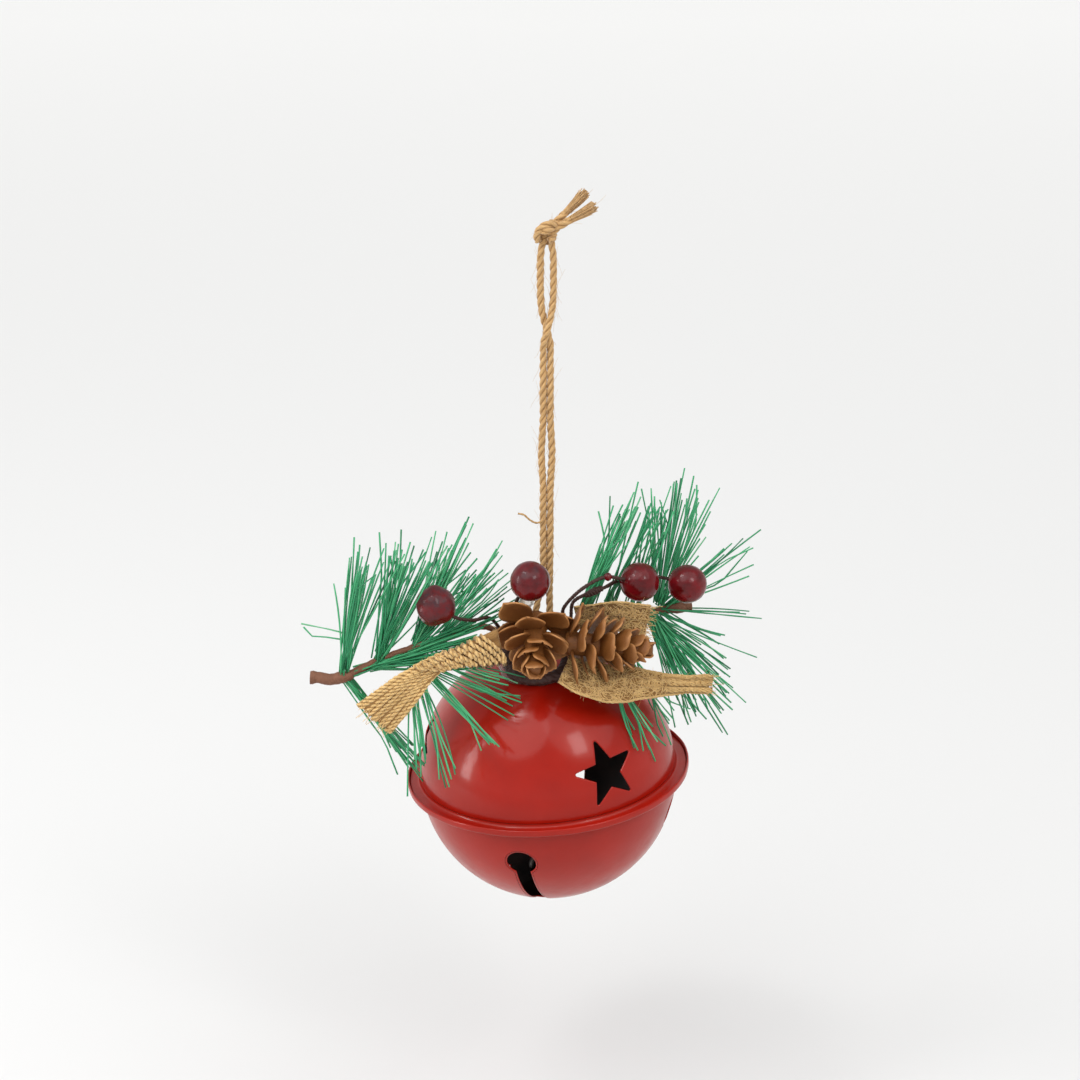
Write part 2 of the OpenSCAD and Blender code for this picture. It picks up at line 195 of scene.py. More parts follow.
def red_paint():
    s = Shader("red_paint", 0.34, Coat_Weight=0.4, Coat_Roughness=0.13, Specular_IOR_Level=0.2,
               Specular_Tint=(1, 0.8, 0.68, 1), Coat_Tint=(1, 0.9, 0.82, 1))
    at = s.coordinates()
    tint = s.ramp(s.noise(at, 45, 4), (0.3, (0.285, 0.005, 0.0008)), (0.7, (0.365, 0.007, 0.001)))
    s.link(tint, "Base Color")
    s.link(s.spread(s.noise(at, 160, 5), 0.28, 0.42, 0.3, 0.7), "Roughness")
    soft = s.bump(s.noise(at, 110, 2), 0.0006, 0.22)
    s.link(s.bump(s.noise(at, 900, 2), 0.00006, 0.35, soft), "Normal")
    return s.material


def bare_steel_and_painted_shade_inside():
    # The shells' inner faces: dark bare steel, painted near-black as well for the shade inside the closed
    # bell.
    s = Shader("bare_steel_and_painted_shade_inside", 0.55)
    patches = s.noise(s.coordinates(), 220, 5)
    s.link(s.ramp(patches, (0.3, (0.012, 0.007, 0.006)), (0.75, (0.04, 0.016, 0.012))), "Base Color")
    return s.material


def plain_steel(name, dull, bright):
    s = Shader(name, 0.3, Metallic=1.0)
    at = s.coordinates()
    s.link(s.ramp(s.noise(at, 500, 4), (0.3, dull), (0.7, bright)), "Base Color")
    s.link(s.spread(s.noise(at, 1200, 4), 0.2, 0.45), "Roughness")
    s.link(s.bump(s.noise(at, 1500, 3), 0.00003, 0.4), "Normal")
    return s.material


def jute(name, dark, middle, pale):
    """Plant fibre: streaks run along the yarn, by the stored run coordinates."""
    s = Shader(name, 0.82, Sheen_Weight=0.25, Sheen_Roughness=0.5, Specular_IOR_Level=0.25)
    streak = s.noise(s.coordinates((1, 0.12, 1), "run"), 5.0, 6, 0.65)
    patches = s.noise(s.coordinates((0.15, 0.03, 1), "run"), 3.0, 2)
    base = s.ramp(streak, (0.3, dark), (0.5, middle), (0.72, pale))
    # Painted shade: the stored tone darkens the colour in the grooves between plies and on the ground cloth
    # between the yarns; each fibre's own tone also varies at random.
    shade = s.ramp(s.tone(), (0.0, (0.3, 0.22, 0.15)), (0.4, (0.78, 0.7, 0.6)), (0.85, (1, 1, 1)))
    mottled = s.mix(s.spread(patches, 0.0, 0.35, 0.4, 0.7), base, dark)
    s.link(s.mix(1.0, mottled, shade, "MULTIPLY"), "Base Color")
    s.link(s.bump(streak, 0.00012, 0.8), "Normal")
    return s.material


def cone_scale():
    s = Shader("pinecone", 0.55, Specular_IOR_Level=0.35, Coat_Weight=0.12, Coat_Roughness=0.4)
    grain = s.noise(s.coordinates((1, 0.15, 1), "run"), 6.0, 5, 0.6)
    broad = s.noise(s.coordinates(), 160, 3)
    body = s.ramp(grain, (0.25, (0.08, 0.024, 0.005)), (0.5, (0.2, 0.068, 0.012)), (0.8, (0.31, 0.12, 0.024)))
    rim = s.ramp(broad, (0.3, (0.42, 0.17, 0.045)), (0.7, (0.58, 0.28, 0.1)))
    shares = ((0, 0), (0.3, 0.03), (0.75, 0.4), (1, 0.9))
    edge = s.ramp(s.tone(), *((at, (share,) * 3) for at, share in shares))
    s.link(s.mix(edge, body, rim), "Base Color")
    s.link(s.bump(grain, 0.00015, 0.6), "Normal")
    return s.material


def berry_skin():
    s = Shader("berry", 0.2, Coat_Weight=0.22, Coat_Roughness=0.1, Specular_IOR_Level=0.22)
    at = s.coordinates()
    skin = s.ramp(s.noise(at, 260, 4), (0.3, (0.075, 0.002, 0.003)), (0.7, (0.17, 0.004, 0.007)))
    frost = s.noise(at, 420, 6, 0.7)
    # Dusty frost colour, mixed in on the upper side: real frost, and its darkness there is also painted
    # shade.
    dust_and_shade = s.mix(s.spread(frost, 0.15, 1.0, 0.35, 0.65), skin, (0.05, 0.02, 0.025))
    s.link(s.mix(s.tone(), skin, dust_and_shade), "Base Color")
    s.link(s.spread(s.tone(), 0.16, 0.5), "Roughness")
    s.link(s.bump(frost, 0.00004, 0.4), "Normal")
    return s.material


def bark_tape(name, dark, pale, roughness):
    """Paper tape wound on wire: a spiral edge and fine creases along it."""
    s = Shader(name, roughness, Specular_IOR_Level=0.4)
    crease = s.noise(s.coordinates((1, 0.4, 1), "run"), 4.0, 6, 0.7)
    s.link(s.ramp(crease, (0.3, dark), (0.72, pale)), "Base Color")
    s.link(s.bump(crease, 0.0002, 0.7), "Normal")
    return s.material


def pine_needle():
    s = Shader("needle", 0.38, Specular_IOR_Level=0.4)
    s.link(s.ramp(s.tone(), (0.0, (0.008, 0.12, 0.05)), (0.35, (0.03, 0.29, 0.12)),
                  (0.75, (0.07, 0.42, 0.18)), (1.0, (0.2, 0.5, 0.27))), "Base Color")
    s.link(s.bump(s.noise(s.coordinates((1, 0.05, 1), "run"), 8.0, 3), 0.00005, 0.4), "Normal")
    return s.material


def clear_glue(name, tint, roughness=0.08):
    s = Shader(name, roughness, Transmission_Weight=0.92, IOR=1.48)
    s.bsdf.inputs["Base Color"].default_value = (*tint, 1)
    s.link(s.bump(s.noise(s.coordinates(), 380, 3), 0.0002, 0.3), "Normal")
    return s.material


PAINT = red_paint()
SHADED_INSIDE = bare_steel_and_painted_shade_inside()
STEEL = plain_steel("steel", (0.42, 0.42, 0.42), (0.62, 0.61, 0.6))
DARK_STEEL = plain_steel("dark_steel", (0.05, 0.035, 0.03), (0.11, 0.09, 0.08))
TWINE = jute("twine", (0.3, 0.16, 0.06), (0.62, 0.38, 0.16), (0.85, 0.6, 0.31))
STRAW = jute("ribbon", (0.5, 0.29, 0.1), (0.84, 0.56, 0.23), (0.95, 0.75, 0.42))
BURLAP = jute("burlap", (0.34, 0.19, 0.06), (0.66, 0.43, 0.165), (0.9, 0.69, 0.36))
SCALE = cone_scale()
BERRY = berry_skin()
DARK_TAPE = bark_tape("stem_tape", (0.012, 0.005, 0.004), (0.09, 0.032, 0.022), 0.4)
BROWN_TAPE = bark_tape("sprig_tape", (0.1, 0.035, 0.018), (0.34, 0.15, 0.085), 0.62)
NEEDLE = pine_needle()
GLUE = clear_glue("glue", (0.9, 0.68, 0.66))
CLOUDY_GLUE = clear_glue("cloudy_glue", (0.88, 0.84, 0.78), 0.35)


# ---- Mesh building ----
class Build:
    """Gathers parts of one piece: points in metres, faces, and the tone and run attributes."""

    def __init__(self):
        self.points, self.faces, self.tones, self.runs, self.slots = [], [], [], [], []
        self.count = 0

    def add(self, points, faces, tone=0.5, run=None):
        points = np.asarray(points, float)
        n = len(points)
        self.points.append(points)
        self.faces += [tuple(int(i) + self.count for i in f) for f in faces]
        self.slots += [0] * len(faces)
        self.tones.append(np.broadcast_to(np.asarray(tone, float), (n,)))
        self.runs.append(np.zeros((n, 3)) if run is None else np.asarray(run, float))
        self.count += n
        return self

    def piece(self, name, body, slot, *materials, replaces=(), blend=None, normals=None):
        mesh = bpy.data.meshes.new(name)
        mesh.from_pydata(np.concatenate(self.points).tolist(), [], self.faces)
        mesh.attributes.new("tone", "FLOAT", "POINT").data.foreach_set("value", np.concatenate(self.tones))
        run = mesh.attributes.new("run", "FLOAT_VECTOR", "POINT")
        run.data.foreach_set("vector", np.concatenate(self.runs).ravel())
        for material in materials:
            mesh.materials.append(material)
        mesh.polygons.foreach_set("material_index", self.slots)
        mesh.polygons.foreach_set("use_smooth", [True] * len(mesh.polygons))
        mesh.validate()
        mesh.update()
        if normals is not None:
            mesh.normals_split_custom_set_from_vertices(normals(mesh))
        o = bpy.data.objects.new(name, mesh)
        bpy.context.collection.objects.link(o)
        if blend:
            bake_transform(o)
        else:
            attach(o, body)
        if replaces:
            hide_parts(*replaces)
        return o


def unit(v):
    return v / np.maximum(np.linalg.norm(v, axis=-1, keepdims=True), 1e-12)


def jitter(rng, size):
    """A small random shift in every direction."""
    return np.array([rng.gauss(0, size) for _ in range(3)])


def travelled(path):
    """The distance along a path at each of its points."""
    return np.concatenate([[0], np.cumsum(np.linalg.norm(np.diff(path, axis=0), axis=1))])


def smooth_route(points, step):
    """A Catmull-Rom curve through given points, in even steps of about that length."""
    p = np.asarray(points, float)
    p = np.vstack([2 * p[0] - p[1], p, 2 * p[-1] - p[-2]])
    fine = []
    for i in range(1, len(p) - 2):
        t = np.linspace(0, 1, 24, endpoint=False)[:, None]
        a, b, c, d = p[i - 1:i + 3]
        fine.append(0.5 * (2 * b + (c - a) * t + (2 * a - 5 * b + 4 * c - d) * t ** 2
                           + (3 * b - a - 3 * c + d) * t ** 3))
    fine = np.vstack([*fine, p[-2:-1]])
    along = travelled(fine)
    stations = np.linspace(0, along[-1], max(3, int(round(along[-1] / step)) + 1))
    return np.stack([np.interp(stations, along, fine[:, k]) for k in range(3)], axis=1)


def route_frames(path):
    """Sideways and upward directions along a route that turn no more than the route does."""
    ahead = unit(np.gradient(path, axis=0))
    side = np.zeros_like(path)
    seed = np.array([0.0, 1.0, 0.0]) if abs(ahead[0][1]) < 0.9 else np.array([1.0, 0.0, 0.0])
    side[0] = unit(np.cross(seed, ahead[0]))
    for i in range(1, len(path)):
        side[i] = unit(side[i - 1] - ahead[i] * (side[i - 1] @ ahead[i]))
    return side, np.cross(ahead, side), ahead


def ring_faces(stations, sides):
    """Quads between the rings of a tube, and a cap on each of its ends."""
    faces = []
    for i in range(stations - 1):
        for k in range(sides):
            a, b = i * sides + k, i * sides + (k + 1) % sides
            faces.append((a, b, b + sides, a + sides))
    faces.append(tuple(range(sides - 1, -1, -1)))
    faces.append(tuple((stations - 1) * sides + k for k in range(sides)))
    return faces


def closed_faces(rings, sides, joined=False):
    """Quads between closed rings of points. joined also ties the last ring to the first."""
    faces = []
    for i in range(rings if joined else rings - 1):
        a, b = i * sides, (i + 1) % rings * sides
        for j in range(sides):
            k = (j + 1) % sides
            faces.append((a + j, b + j, b + k, a + k))
    return faces


def sheet_faces(rows, columns):
    """Faces of a thin closed sheet: the grid of its top, the same below, and the border between them."""
    n = rows * columns
    faces = []
    for j in range(rows - 1):
        for i in range(columns - 1):
            a = j * columns + i
            faces += [(a, a + 1, a + columns + 1, a + columns),
                      (a + n, a + columns + n, a + columns + 1 + n, a + 1 + n)]
    border = list(range(columns)) + [j * columns + columns - 1 for j in range(1, rows)]
    border += [(rows - 1) * columns + i for i in range(columns - 2, -1, -1)]
    border += [j * columns for j in range(rows - 2, 0, -1)]
    return faces + [(b, a, a + n, b + n) for a, b in zip(border, border[1:] + border[:1])]


def sweep(build, path, radius, sides=12, twist=0.0, lobes=0, depth=0.0, tone=0.5, matrix=None,
          squash=1.0, wobble=0.0, rng=None):
    """A tube along a route in millimetres. twist is turns per millimetre of its lobed section."""
    side, up, _ = route_frames(path)
    along = travelled(path)
    n = len(path)
    radius = np.broadcast_to(np.asarray(radius, float), (n,))
    if rng is not None:
        rough = np.array([rng.gauss(0, 1) for _ in range(n)])
        radius = radius * (1 + wobble * np.convolve(rough, np.ones(3) / 3, "same"))
    angle = np.linspace(0, 2 * math.pi, sides, endpoint=False)
    turned = angle[None, :] + 2 * math.pi * twist * along[:, None]
    lobe, groove_shade = np.ones(sides), 1.0
    if lobes:
        lobe = 1 - depth + depth * np.abs(np.cos(lobes * angle / 2)) ** 0.7
        # Painted shade: the colour tone falls to a tenth in the grooves between the lobes.
        groove_shade = 0.1 + 0.9 * ((lobe - 1 + depth) / depth)[None, :] ** 0.8
    reach = radius[:, None] * lobe[None, :]
    points = (path[:, None, :] + (reach * np.cos(turned))[..., None] * side[:, None, :]
              + (squash * reach * np.sin(turned))[..., None] * up[:, None, :]).reshape(-1, 3)
    run = np.zeros((n, sides, 3))
    run[..., 0] = angle * radius.mean() * 2
    run[..., 1] = along[:, None]
    tones = np.broadcast_to(tone * groove_shade, (n, sides)).reshape(-1)
    placed_points = placed(points, matrix if matrix is not None else Matrix.Identity(4))
    return build.add(placed_points, ring_faces(n, sides), tones, run.reshape(-1, 3))


def merge_poles(o):
    """Joins the points that lie on each other at a ball's two poles."""
    b = bmesh.new()
    b.from_mesh(o.data)
    bmesh.ops.remove_doubles(b, verts=b.verts, dist=1e-6)
    b.to_mesh(o.data)
    b.free()


def turn_faces_out(o):
    b = bmesh.new()
    b.from_mesh(o.data)
    bmesh.ops.recalc_face_normals(b, faces=b.faces)
    b.to_mesh(o.data)
    b.free()


# ---- Twine loop: two plied strands, a knot and two frayed tails ----
TWINE_D = 2.0
TWINE_R = TWINE_D / 2
STRAND_X = TWINE_R + 0.05
EYE_WIRE_R = 0.9
BIGHT_GAP = 0.3
BIGHT_R = EYE_WIRE_R + BIGHT_GAP + TWINE_R
FOOT_X, _, FOOT_Z = (c / MM for c in FOOT)
STRAND_ROUTE = [
    (-1, 0, 4.5), (-1.7, 0, 0), (-1.8, 0, -5), (-1.8, 0, -10), (-1.6, 0, -15), (-1, 0.5, -19),
    (0, 1, -23), (0.9, 0.6, -27), (1, 0, -32), (1, 0, -38), (1, 0, -44), (1, 0, -50),
    (1.3, 0, -56), (1.5, 0, -61), (1.3, 0, -66), (1, 0, -72), (1, 0, -78), (1, 0, -83), (1, 0, -88),
]
RIGHT_LEG = [(1, 0, -96), (0.9, 0, -102.5), (0.9, 0, -108.5), (1, 0, -112.5), (FOOT_X + BIGHT_R, 0, FOOT_Z)]
LEFT_LEG = [(-1, 0, -96), (-1.4, 0, -102.5), (-2.7, 0, -108.5), (-3.3, 0, -112.5),
            (FOOT_X - BIGHT_R, 0, FOOT_Z)]
TAILS = [
    [(0.5, 0.6, 6.5), (3, 1.1, 9.5), (6, 1.1, 12.5), (9, 1.2, 15.5), (11.5, 1.4, 18.5)],
    [(0.5, -0.6, 6), (3, -1.1, 8.2), (6.5, -1.1, 10.3), (10.5, -1.2, 12.6), (14.5, -1.4, 15)],
]
PLY_TWIST = 0.12
KNOT_Z = 7
BLEND_Z = (-8, -84)


def ply(build, path, thick, rng=None, depth=0.34, tone=0.95):
    """A stretch of three-ply twine, thick times its own radius."""
    sweep(build, path, TWINE_R * thick, sides=30, twist=PLY_TWIST, lobes=3, depth=depth, tone=tone,
          wobble=0.07, rng=rng)


def strand_points(side, leg):
    return [(side * STRAND_X * x, side * STRAND_X * y, z) for x, y, z in STRAND_ROUTE] + leg


def stray_fibres(build, path, count, reach, rng, thick=0.05, length=(3, 9)):
    """Loose fibres that lie along a yarn and lift off it at their ends."""
    side, up, ahead = route_frames(path)
    for _ in range(count):
        i = rng.randrange(2, len(path) - 2)
        turn = rng.uniform(0, 2 * math.pi)
        out = math.cos(turn) * side[i] + math.sin(turn) * up[i]
        across = -math.sin(turn) * side[i] + math.cos(turn) * up[i]
        span = rng.uniform(*length)
        way = rng.choice((-1, 1))
        lift = rng.uniform(0.1, 1.0) * reach
        start = path[i] + out * TWINE_R * 0.85
        lean = across * rng.uniform(-0.5, 0.5) * span
        route = [start + ahead[i] * way * span * s + lean * s ** 1.5 + out * lift * s ** 2
                 + jitter(rng, 0.08) for s in (0, 0.25, 0.5, 0.75, 1)]
        fine = smooth_route(route, span / 8)
        sweep(build, fine, np.linspace(thick, thick * 0.4, len(fine)), sides=4, tone=rng.uniform(0.5, 1))


def add_strand(name, node, side, leg, seed):
    rng = random.Random(seed)
    path = smooth_route(strand_points(side, leg), 0.45)
    build = Build()
    ply(build, path, 1.1, rng)
    ends = [(0, 0, z * MM) for z in BLEND_Z]
    strand = build.piece(name, None, "twine", TWINE, replaces=[node], blend=("hanger", "bight", *ends))
    hairs = Build()
    stray_fibres(hairs, path[:-20], 90, 1.6, rng)
    fuzz = hairs.piece(name + "_fibres", None, "twine", TWINE, blend=("hanger", "bight", *ends))
    return strand, fuzz, path


def add_twine():
    strands = [add_strand("left_strand", "twine_left", 1, RIGHT_LEG, 1),
               add_strand("right_strand", "twine_right", -1, LEFT_LEG, 2)]
    rng = random.Random(3)
    bend = [(FOOT_X + BIGHT_R * math.cos(a), 0, FOOT_Z - BIGHT_R * math.sin(a))
            for a in np.linspace(-0.25, math.pi + 0.25, 9)]
    build = Build()
    ply(build, smooth_route(bend, 0.4), 1)
    bight = build.piece("bight", "bight", "twine", TWINE, replaces=["twine_bight"])

    knot = Build()
    wrap = [(3.1 * math.cos(a) * 0.62, 3.0 * math.sin(a), KNOT_Z - 1.6 + 0.5 * a) for a in
            np.linspace(-1.2, 2 * math.pi + 0.9, 22)]
    ply(knot, smooth_route(wrap, 0.4), 1.05, rng)
    over = [(-2.6, -1.0, 4.2), (-2.9, -1.9, 6.3), (-1.6, -2.6, 8.6), (0.8, -2.5, 9.6), (2.4, -1.4, 9.2),
            (3.0, 0.4, 8.2), (2.0, 1.6, 6.6), (-0.2, 1.4, 5.2)]
    ply(knot, smooth_route(over, 0.4), 1.1, rng)
    core = [(-1, 0, 3), (-0.6, 0.3, 5), (0.5, 0, 7), (1.5, 0, 9)]
    ply(knot, smooth_route(core, 0.4), 1.5, depth=0.2, tone=0.6)
    stray_fibres(knot, smooth_route(wrap, 0.4), 30, 1.2, rng, length=(2, 5))
    knot_piece = knot.piece("knot", "hanger", "twine", TWINE, replaces=["twine_knot"])

    tails = Build()
    for route in TAILS:
        path = smooth_route(route, 0.4)
        split = int(len(path) * 0.45)
        ply(tails, path[:split + 2], 1.2, rng)
        side, up, _ = route_frames(path)
        for _ in range(150):
            turn = rng.uniform(0, 2 * math.pi)
            out = math.cos(turn) * side[split] + math.sin(turn) * up[split]
            r0 = TWINE_R * math.sqrt(rng.random()) * 0.85
            spread = 1.1 + rng.uniform(0, 1.0)
            keep = path[split - 4:]
            share = np.linspace(0, 1, len(keep))[:, None]
            bow = out * r0 * (1 + (spread - 1) * share) + jitter(rng, 0.25) * share
            fibre = (keep + bow)[:max(5, int(len(keep) * rng.uniform(0.75, 1.0)))]
            sweep(tails, fibre, 0.11, sides=4, tone=rng.uniform(0.5, 1))
        stray_fibres(tails, path, 20, 1.2, rng, length=(2, 5))
    tail_piece = tails.piece("tails", "hanger", "twine", TWINE, replaces=["twine_tails"])

    for (strand, fuzz, path), extra in zip(strands, ([knot_piece, tail_piece, bight], [])):
        route = placed(path, Matrix.Identity(4))
    loose = Build()
    curl = [(-0.8, -0.9, -82), (-3, -1.4, -82.6), (-5, -1.6, -81.6), (-6.8, -1.5, -80), (-8.6, -1.4, -79.6)]
    sweep(loose, smooth_route(curl, 0.4), 0.34, sides=10, twist=0.4, lobes=2, depth=0.3, tone=0.8)
    loose.piece("loose_yarn", "bight", "twine", TWINE)


add_twine()


# ---- Bell shells ----
STAR_R = 10.0
STAR_INNER_R = 4.5
STAR_TIP_R = 0.5
STAR_LAT = 20.0
STAR_TURN = 30.0
STAR_SPIN = 12.0
KEYHOLE_R = 4.5
SLOT_W = 4.5
SLOT_END = 16.0
KEYHOLE_LAT = 18.5
KEYHOLE_TURN = 14.0
SECTORS = 200
DOME_END = 2.0
# Rolled edge of a hole: distance outside its outline, and depth below the outer face
RIM_PROFILE = ((0.6, 0.0), (0.36, 0.02), (0.16, 0.08), (0.04, 0.18), (0.0, 0.3), (0.04, 0.45), (0.2, 0.57),
               (0.6, SHEET_T))


def dense(outline, step):
    """A closed outline with points no further apart than step."""
    out = []
    for a, b in zip(outline, outline[1:] + outline[:1]):
        a, b = np.asarray(a, float), np.asarray(b, float)
        n = max(1, int(math.ceil(np.linalg.norm(b - a) / step)))
        out += [a + (b - a) * k / n for k in range(n)]
    return out


def star_outline():
    points = []
    for p in range(5):
        a = 2 * math.pi * p / 5
        tip = (STAR_R - STAR_TIP_R) * np.array([math.cos(a), math.sin(a)])
        for k in range(-70, 71, 14):
            b = a + math.radians(k)
            points.append(tip + STAR_TIP_R * np.array([math.cos(b), math.sin(b)]))
        inner = a + math.pi / 5
        points.append(STAR_INNER_R * np.array([math.cos(inner), math.sin(inner)]))
    return dense(points, 0.5)


def through_ball(turn, latitude, flat):
    """Points of a flat outline, carried straight in on to the bell's sphere at a direction and latitude."""
    t, l = math.radians(turn), math.radians(latitude)
    out = np.array([math.sin(t) * math.cos(l), -math.cos(t) * math.cos(l), math.sin(l)])
    right = np.array([math.cos(t), math.sin(t), 0])
    up = np.array([-math.sin(t) * math.sin(l), math.cos(t) * math.sin(l), math.cos(l)])
    return np.array([out * math.sqrt(BELL_R ** 2 - x * x - y * y) + right * x + up * y for x, y in flat])


def on_ball(flat, sign):
    """Points of the bell's upper (1) or lower (-1) half above or below flat ones."""
    return np.array([(x, y, sign * math.sqrt(BELL_R ** 2 - x * x - y * y)) for x, y in flat])


def star_holes():
    holes = []
    for s in range(3):
        spin = math.radians(0 if s == 1 else 180 - STAR_SPIN)
        flat = [(math.cos(spin) * x - math.sin(spin) * y, math.sin(spin) * x + math.cos(spin) * y)
                for x, y in star_outline()]
        holes.append(through_ball(STAR_TURN - 120 * s, STAR_LAT, flat))
    angles = np.linspace(0, 2 * math.pi, 24, False)
    holes.append(on_ball([(CROWN_HOLE_R * math.cos(a), CROWN_HOLE_R * math.sin(a)) for a in angles], 1))
    return holes


def keyholes():
    """Four openings round the lower shell, each a round end with a slot below it."""
    half = SLOT_W / 2
    neck = math.asin(half / KEYHOLE_R)
    holes = []
    for q in range(4):
        turn = 90 * q - KEYHOLE_TURN
        t = math.radians(turn)
        outward = np.array([math.sin(t), -math.cos(t)])
        along = np.array([math.cos(t), math.sin(t)])
        psi = np.linspace(neck, 2 * math.pi - neck, 40)
        circle = [(-KEYHOLE_R * math.sin(a), -KEYHOLE_R * math.cos(a)) for a in psi]
        ring = through_ball(turn, -KEYHOLE_LAT, circle)
        first, last = ring[0][:2] @ outward, ring[-1][:2] @ outward
        flat = [outward * d - along * half for d in np.arange(SLOT_END, first - 0.3, 0.8)]
        back = [outward * d + along * half for d in np.arange(last - 0.8, SLOT_END + 0.3, -0.8)]
        back += [outward * SLOT_END + along * side for side in np.linspace(half, -half, 7)[:-1]]
        holes.append(np.vstack([on_ball(flat, -1), ring, on_ball(back, -1)]))
    return holes


def hole_rings(hole):
    """Rings from the shell's outside, over the rolled edge of a hole, to the shell's inside."""
    ahead = unit(np.roll(hole, -1, axis=0) - np.roll(hole, 1, axis=0))
    normal = unit(hole)
    away = unit(np.cross(ahead, normal))
    middle = hole.mean(axis=0)
    if np.sum((hole - middle) * away) < 0:
        away = -away
    return [unit(hole + away * grow) * (BELL_R - depth) for grow, depth in RIM_PROFILE]


def chart(points):
    """Flat map of a hemisphere, true to scale from the pole outwards."""
    p = unit(points)
    angle = np.arccos(np.clip(np.abs(p[:, 2]), 0, 1))
    flat = p[:, :2] / np.maximum(np.linalg.norm(p[:, :2], axis=1, keepdims=True), 1e-9)
    return flat * angle[:, None] * BELL_R


def inside(outline, points):
    """Which points lie within a closed outline, by counting crossings."""
    x, y = points[:, 0], points[:, 1]
    found = np.zeros(len(points), bool)
    for (ax, ay), (bx, by) in zip(outline, np.roll(outline, -1, axis=0)):
        crosses = (ay > y) != (by > y)
        span = by - ay if abs(by - ay) > 1e-12 else 1e-12
        found ^= crosses & (x < (bx - ax) * (y - ay) / span + ax)
    return found


def dome(sign, holes):
    """Points on the unit hemisphere and triangles round its holes. The last ones are its edge."""
    rings = [hole_rings(h) for h in holes]
    outlines = [chart(r[0]) for r in rings]
    end = math.acos(DOME_END / BELL_R)
    angles = np.linspace(0, 2 * math.pi, SECTORS, endpoint=False)
    edge = np.stack([np.cos(angles), np.sin(angles)], axis=1) * end * BELL_R
    grid = [np.zeros((1, 2))]
    for k, r in enumerate(np.arange(1.5, end * BELL_R - 0.9, 1.5)):
        n = max(6, int(2 * math.pi * r / 1.5))
        a = np.linspace(0, 2 * math.pi, n, endpoint=False) + k * 0.7
        grid.append(np.stack([np.cos(a), np.sin(a)], axis=1) * r)
    grid = np.vstack(grid)
    keep = np.ones(len(grid), bool)
    for outline in outlines:
        keep &= ~inside(outline, grid)
        gap = np.min(np.linalg.norm(grid[:, None, :] - outline[None, :, :], axis=2), axis=1)
        keep &= gap > 0.6
    loops = [*outlines, edge]
    flat = np.vstack([*loops, grid[keep]])
    edges, start = [], 0
    for loop in loops:
        n = len(loop)
        edges += [(start + i, start + (i + 1) % n) for i in range(n)]
        start += n
    verts, _, faces, origin, _, _ = delaunay_2d_cdt([Vector(p) for p in flat.tolist()], edges, [], 0, 1e-6)
    verts = np.array([tuple(v) for v in verts])
    faces = np.array([tuple(f) for f in faces])
    middles = verts[faces].mean(axis=1)
    wanted = np.ones(len(faces), bool)
    for outline in outlines:
        wanted &= ~inside(outline, middles)
    place = {src: i for i, sources in enumerate(origin) for src in sources}
    loop_places, start = [], 0
    for loop in loops:
        loop_places.append([place[start + i] for i in range(len(loop))])
        start += len(loop)
    angle = np.linalg.norm(verts, axis=1) / BELL_R
    heading = verts / np.maximum(np.linalg.norm(verts, axis=1, keepdims=True), 1e-9)
    ball = np.column_stack([heading * np.sin(angle)[:, None], sign * np.cos(angle)])
    return ball, faces[wanted], loop_places, rings


# Profiles of the two flanges, outside and inside: distance from the bell's axis, and height
UPPER_OUT = ((39.97, 1.7), (40.05, 1.3), (40.25, 0.95), (40.6, 0.72), (41.2, 0.62), (42.9, 0.6),
             (43.12, 0.55), (43.2, 0.4), (43.2, 0.1))
UPPER_IN = ((43.1, 0.02), (41.0, 0.02), (39.75, 0.25), (39.45, 0.8), (39.38, 1.5))
LOWER_OUT = ((39.97, -1.7), (40.05, -1.3), (40.2, -0.95), (40.5, -0.72), (41.1, -0.62), (43.3, -0.6),
             (43.7, -0.52), (43.93, -0.3), (44.0, 0.0), (44.0, 1.2), (43.93, 1.42), (43.8, 1.56),
             (43.64, 1.6), (43.5, 1.52), (43.42, 1.35), (43.4, 1.1), (43.4, 0.1))
LOWER_IN = ((43.3, -0.01), (41.0, -0.01), (39.75, -0.25), (39.45, -0.8), (39.38, -1.5))


def flange_ripple(angle):
    """Small unevenness of the crimped edge, in millimetres."""
    return 0.09 * math.sin(3 * angle + 1) + 0.05 * math.sin(11 * angle) + 0.03 * math.sin(29 * angle + 2)


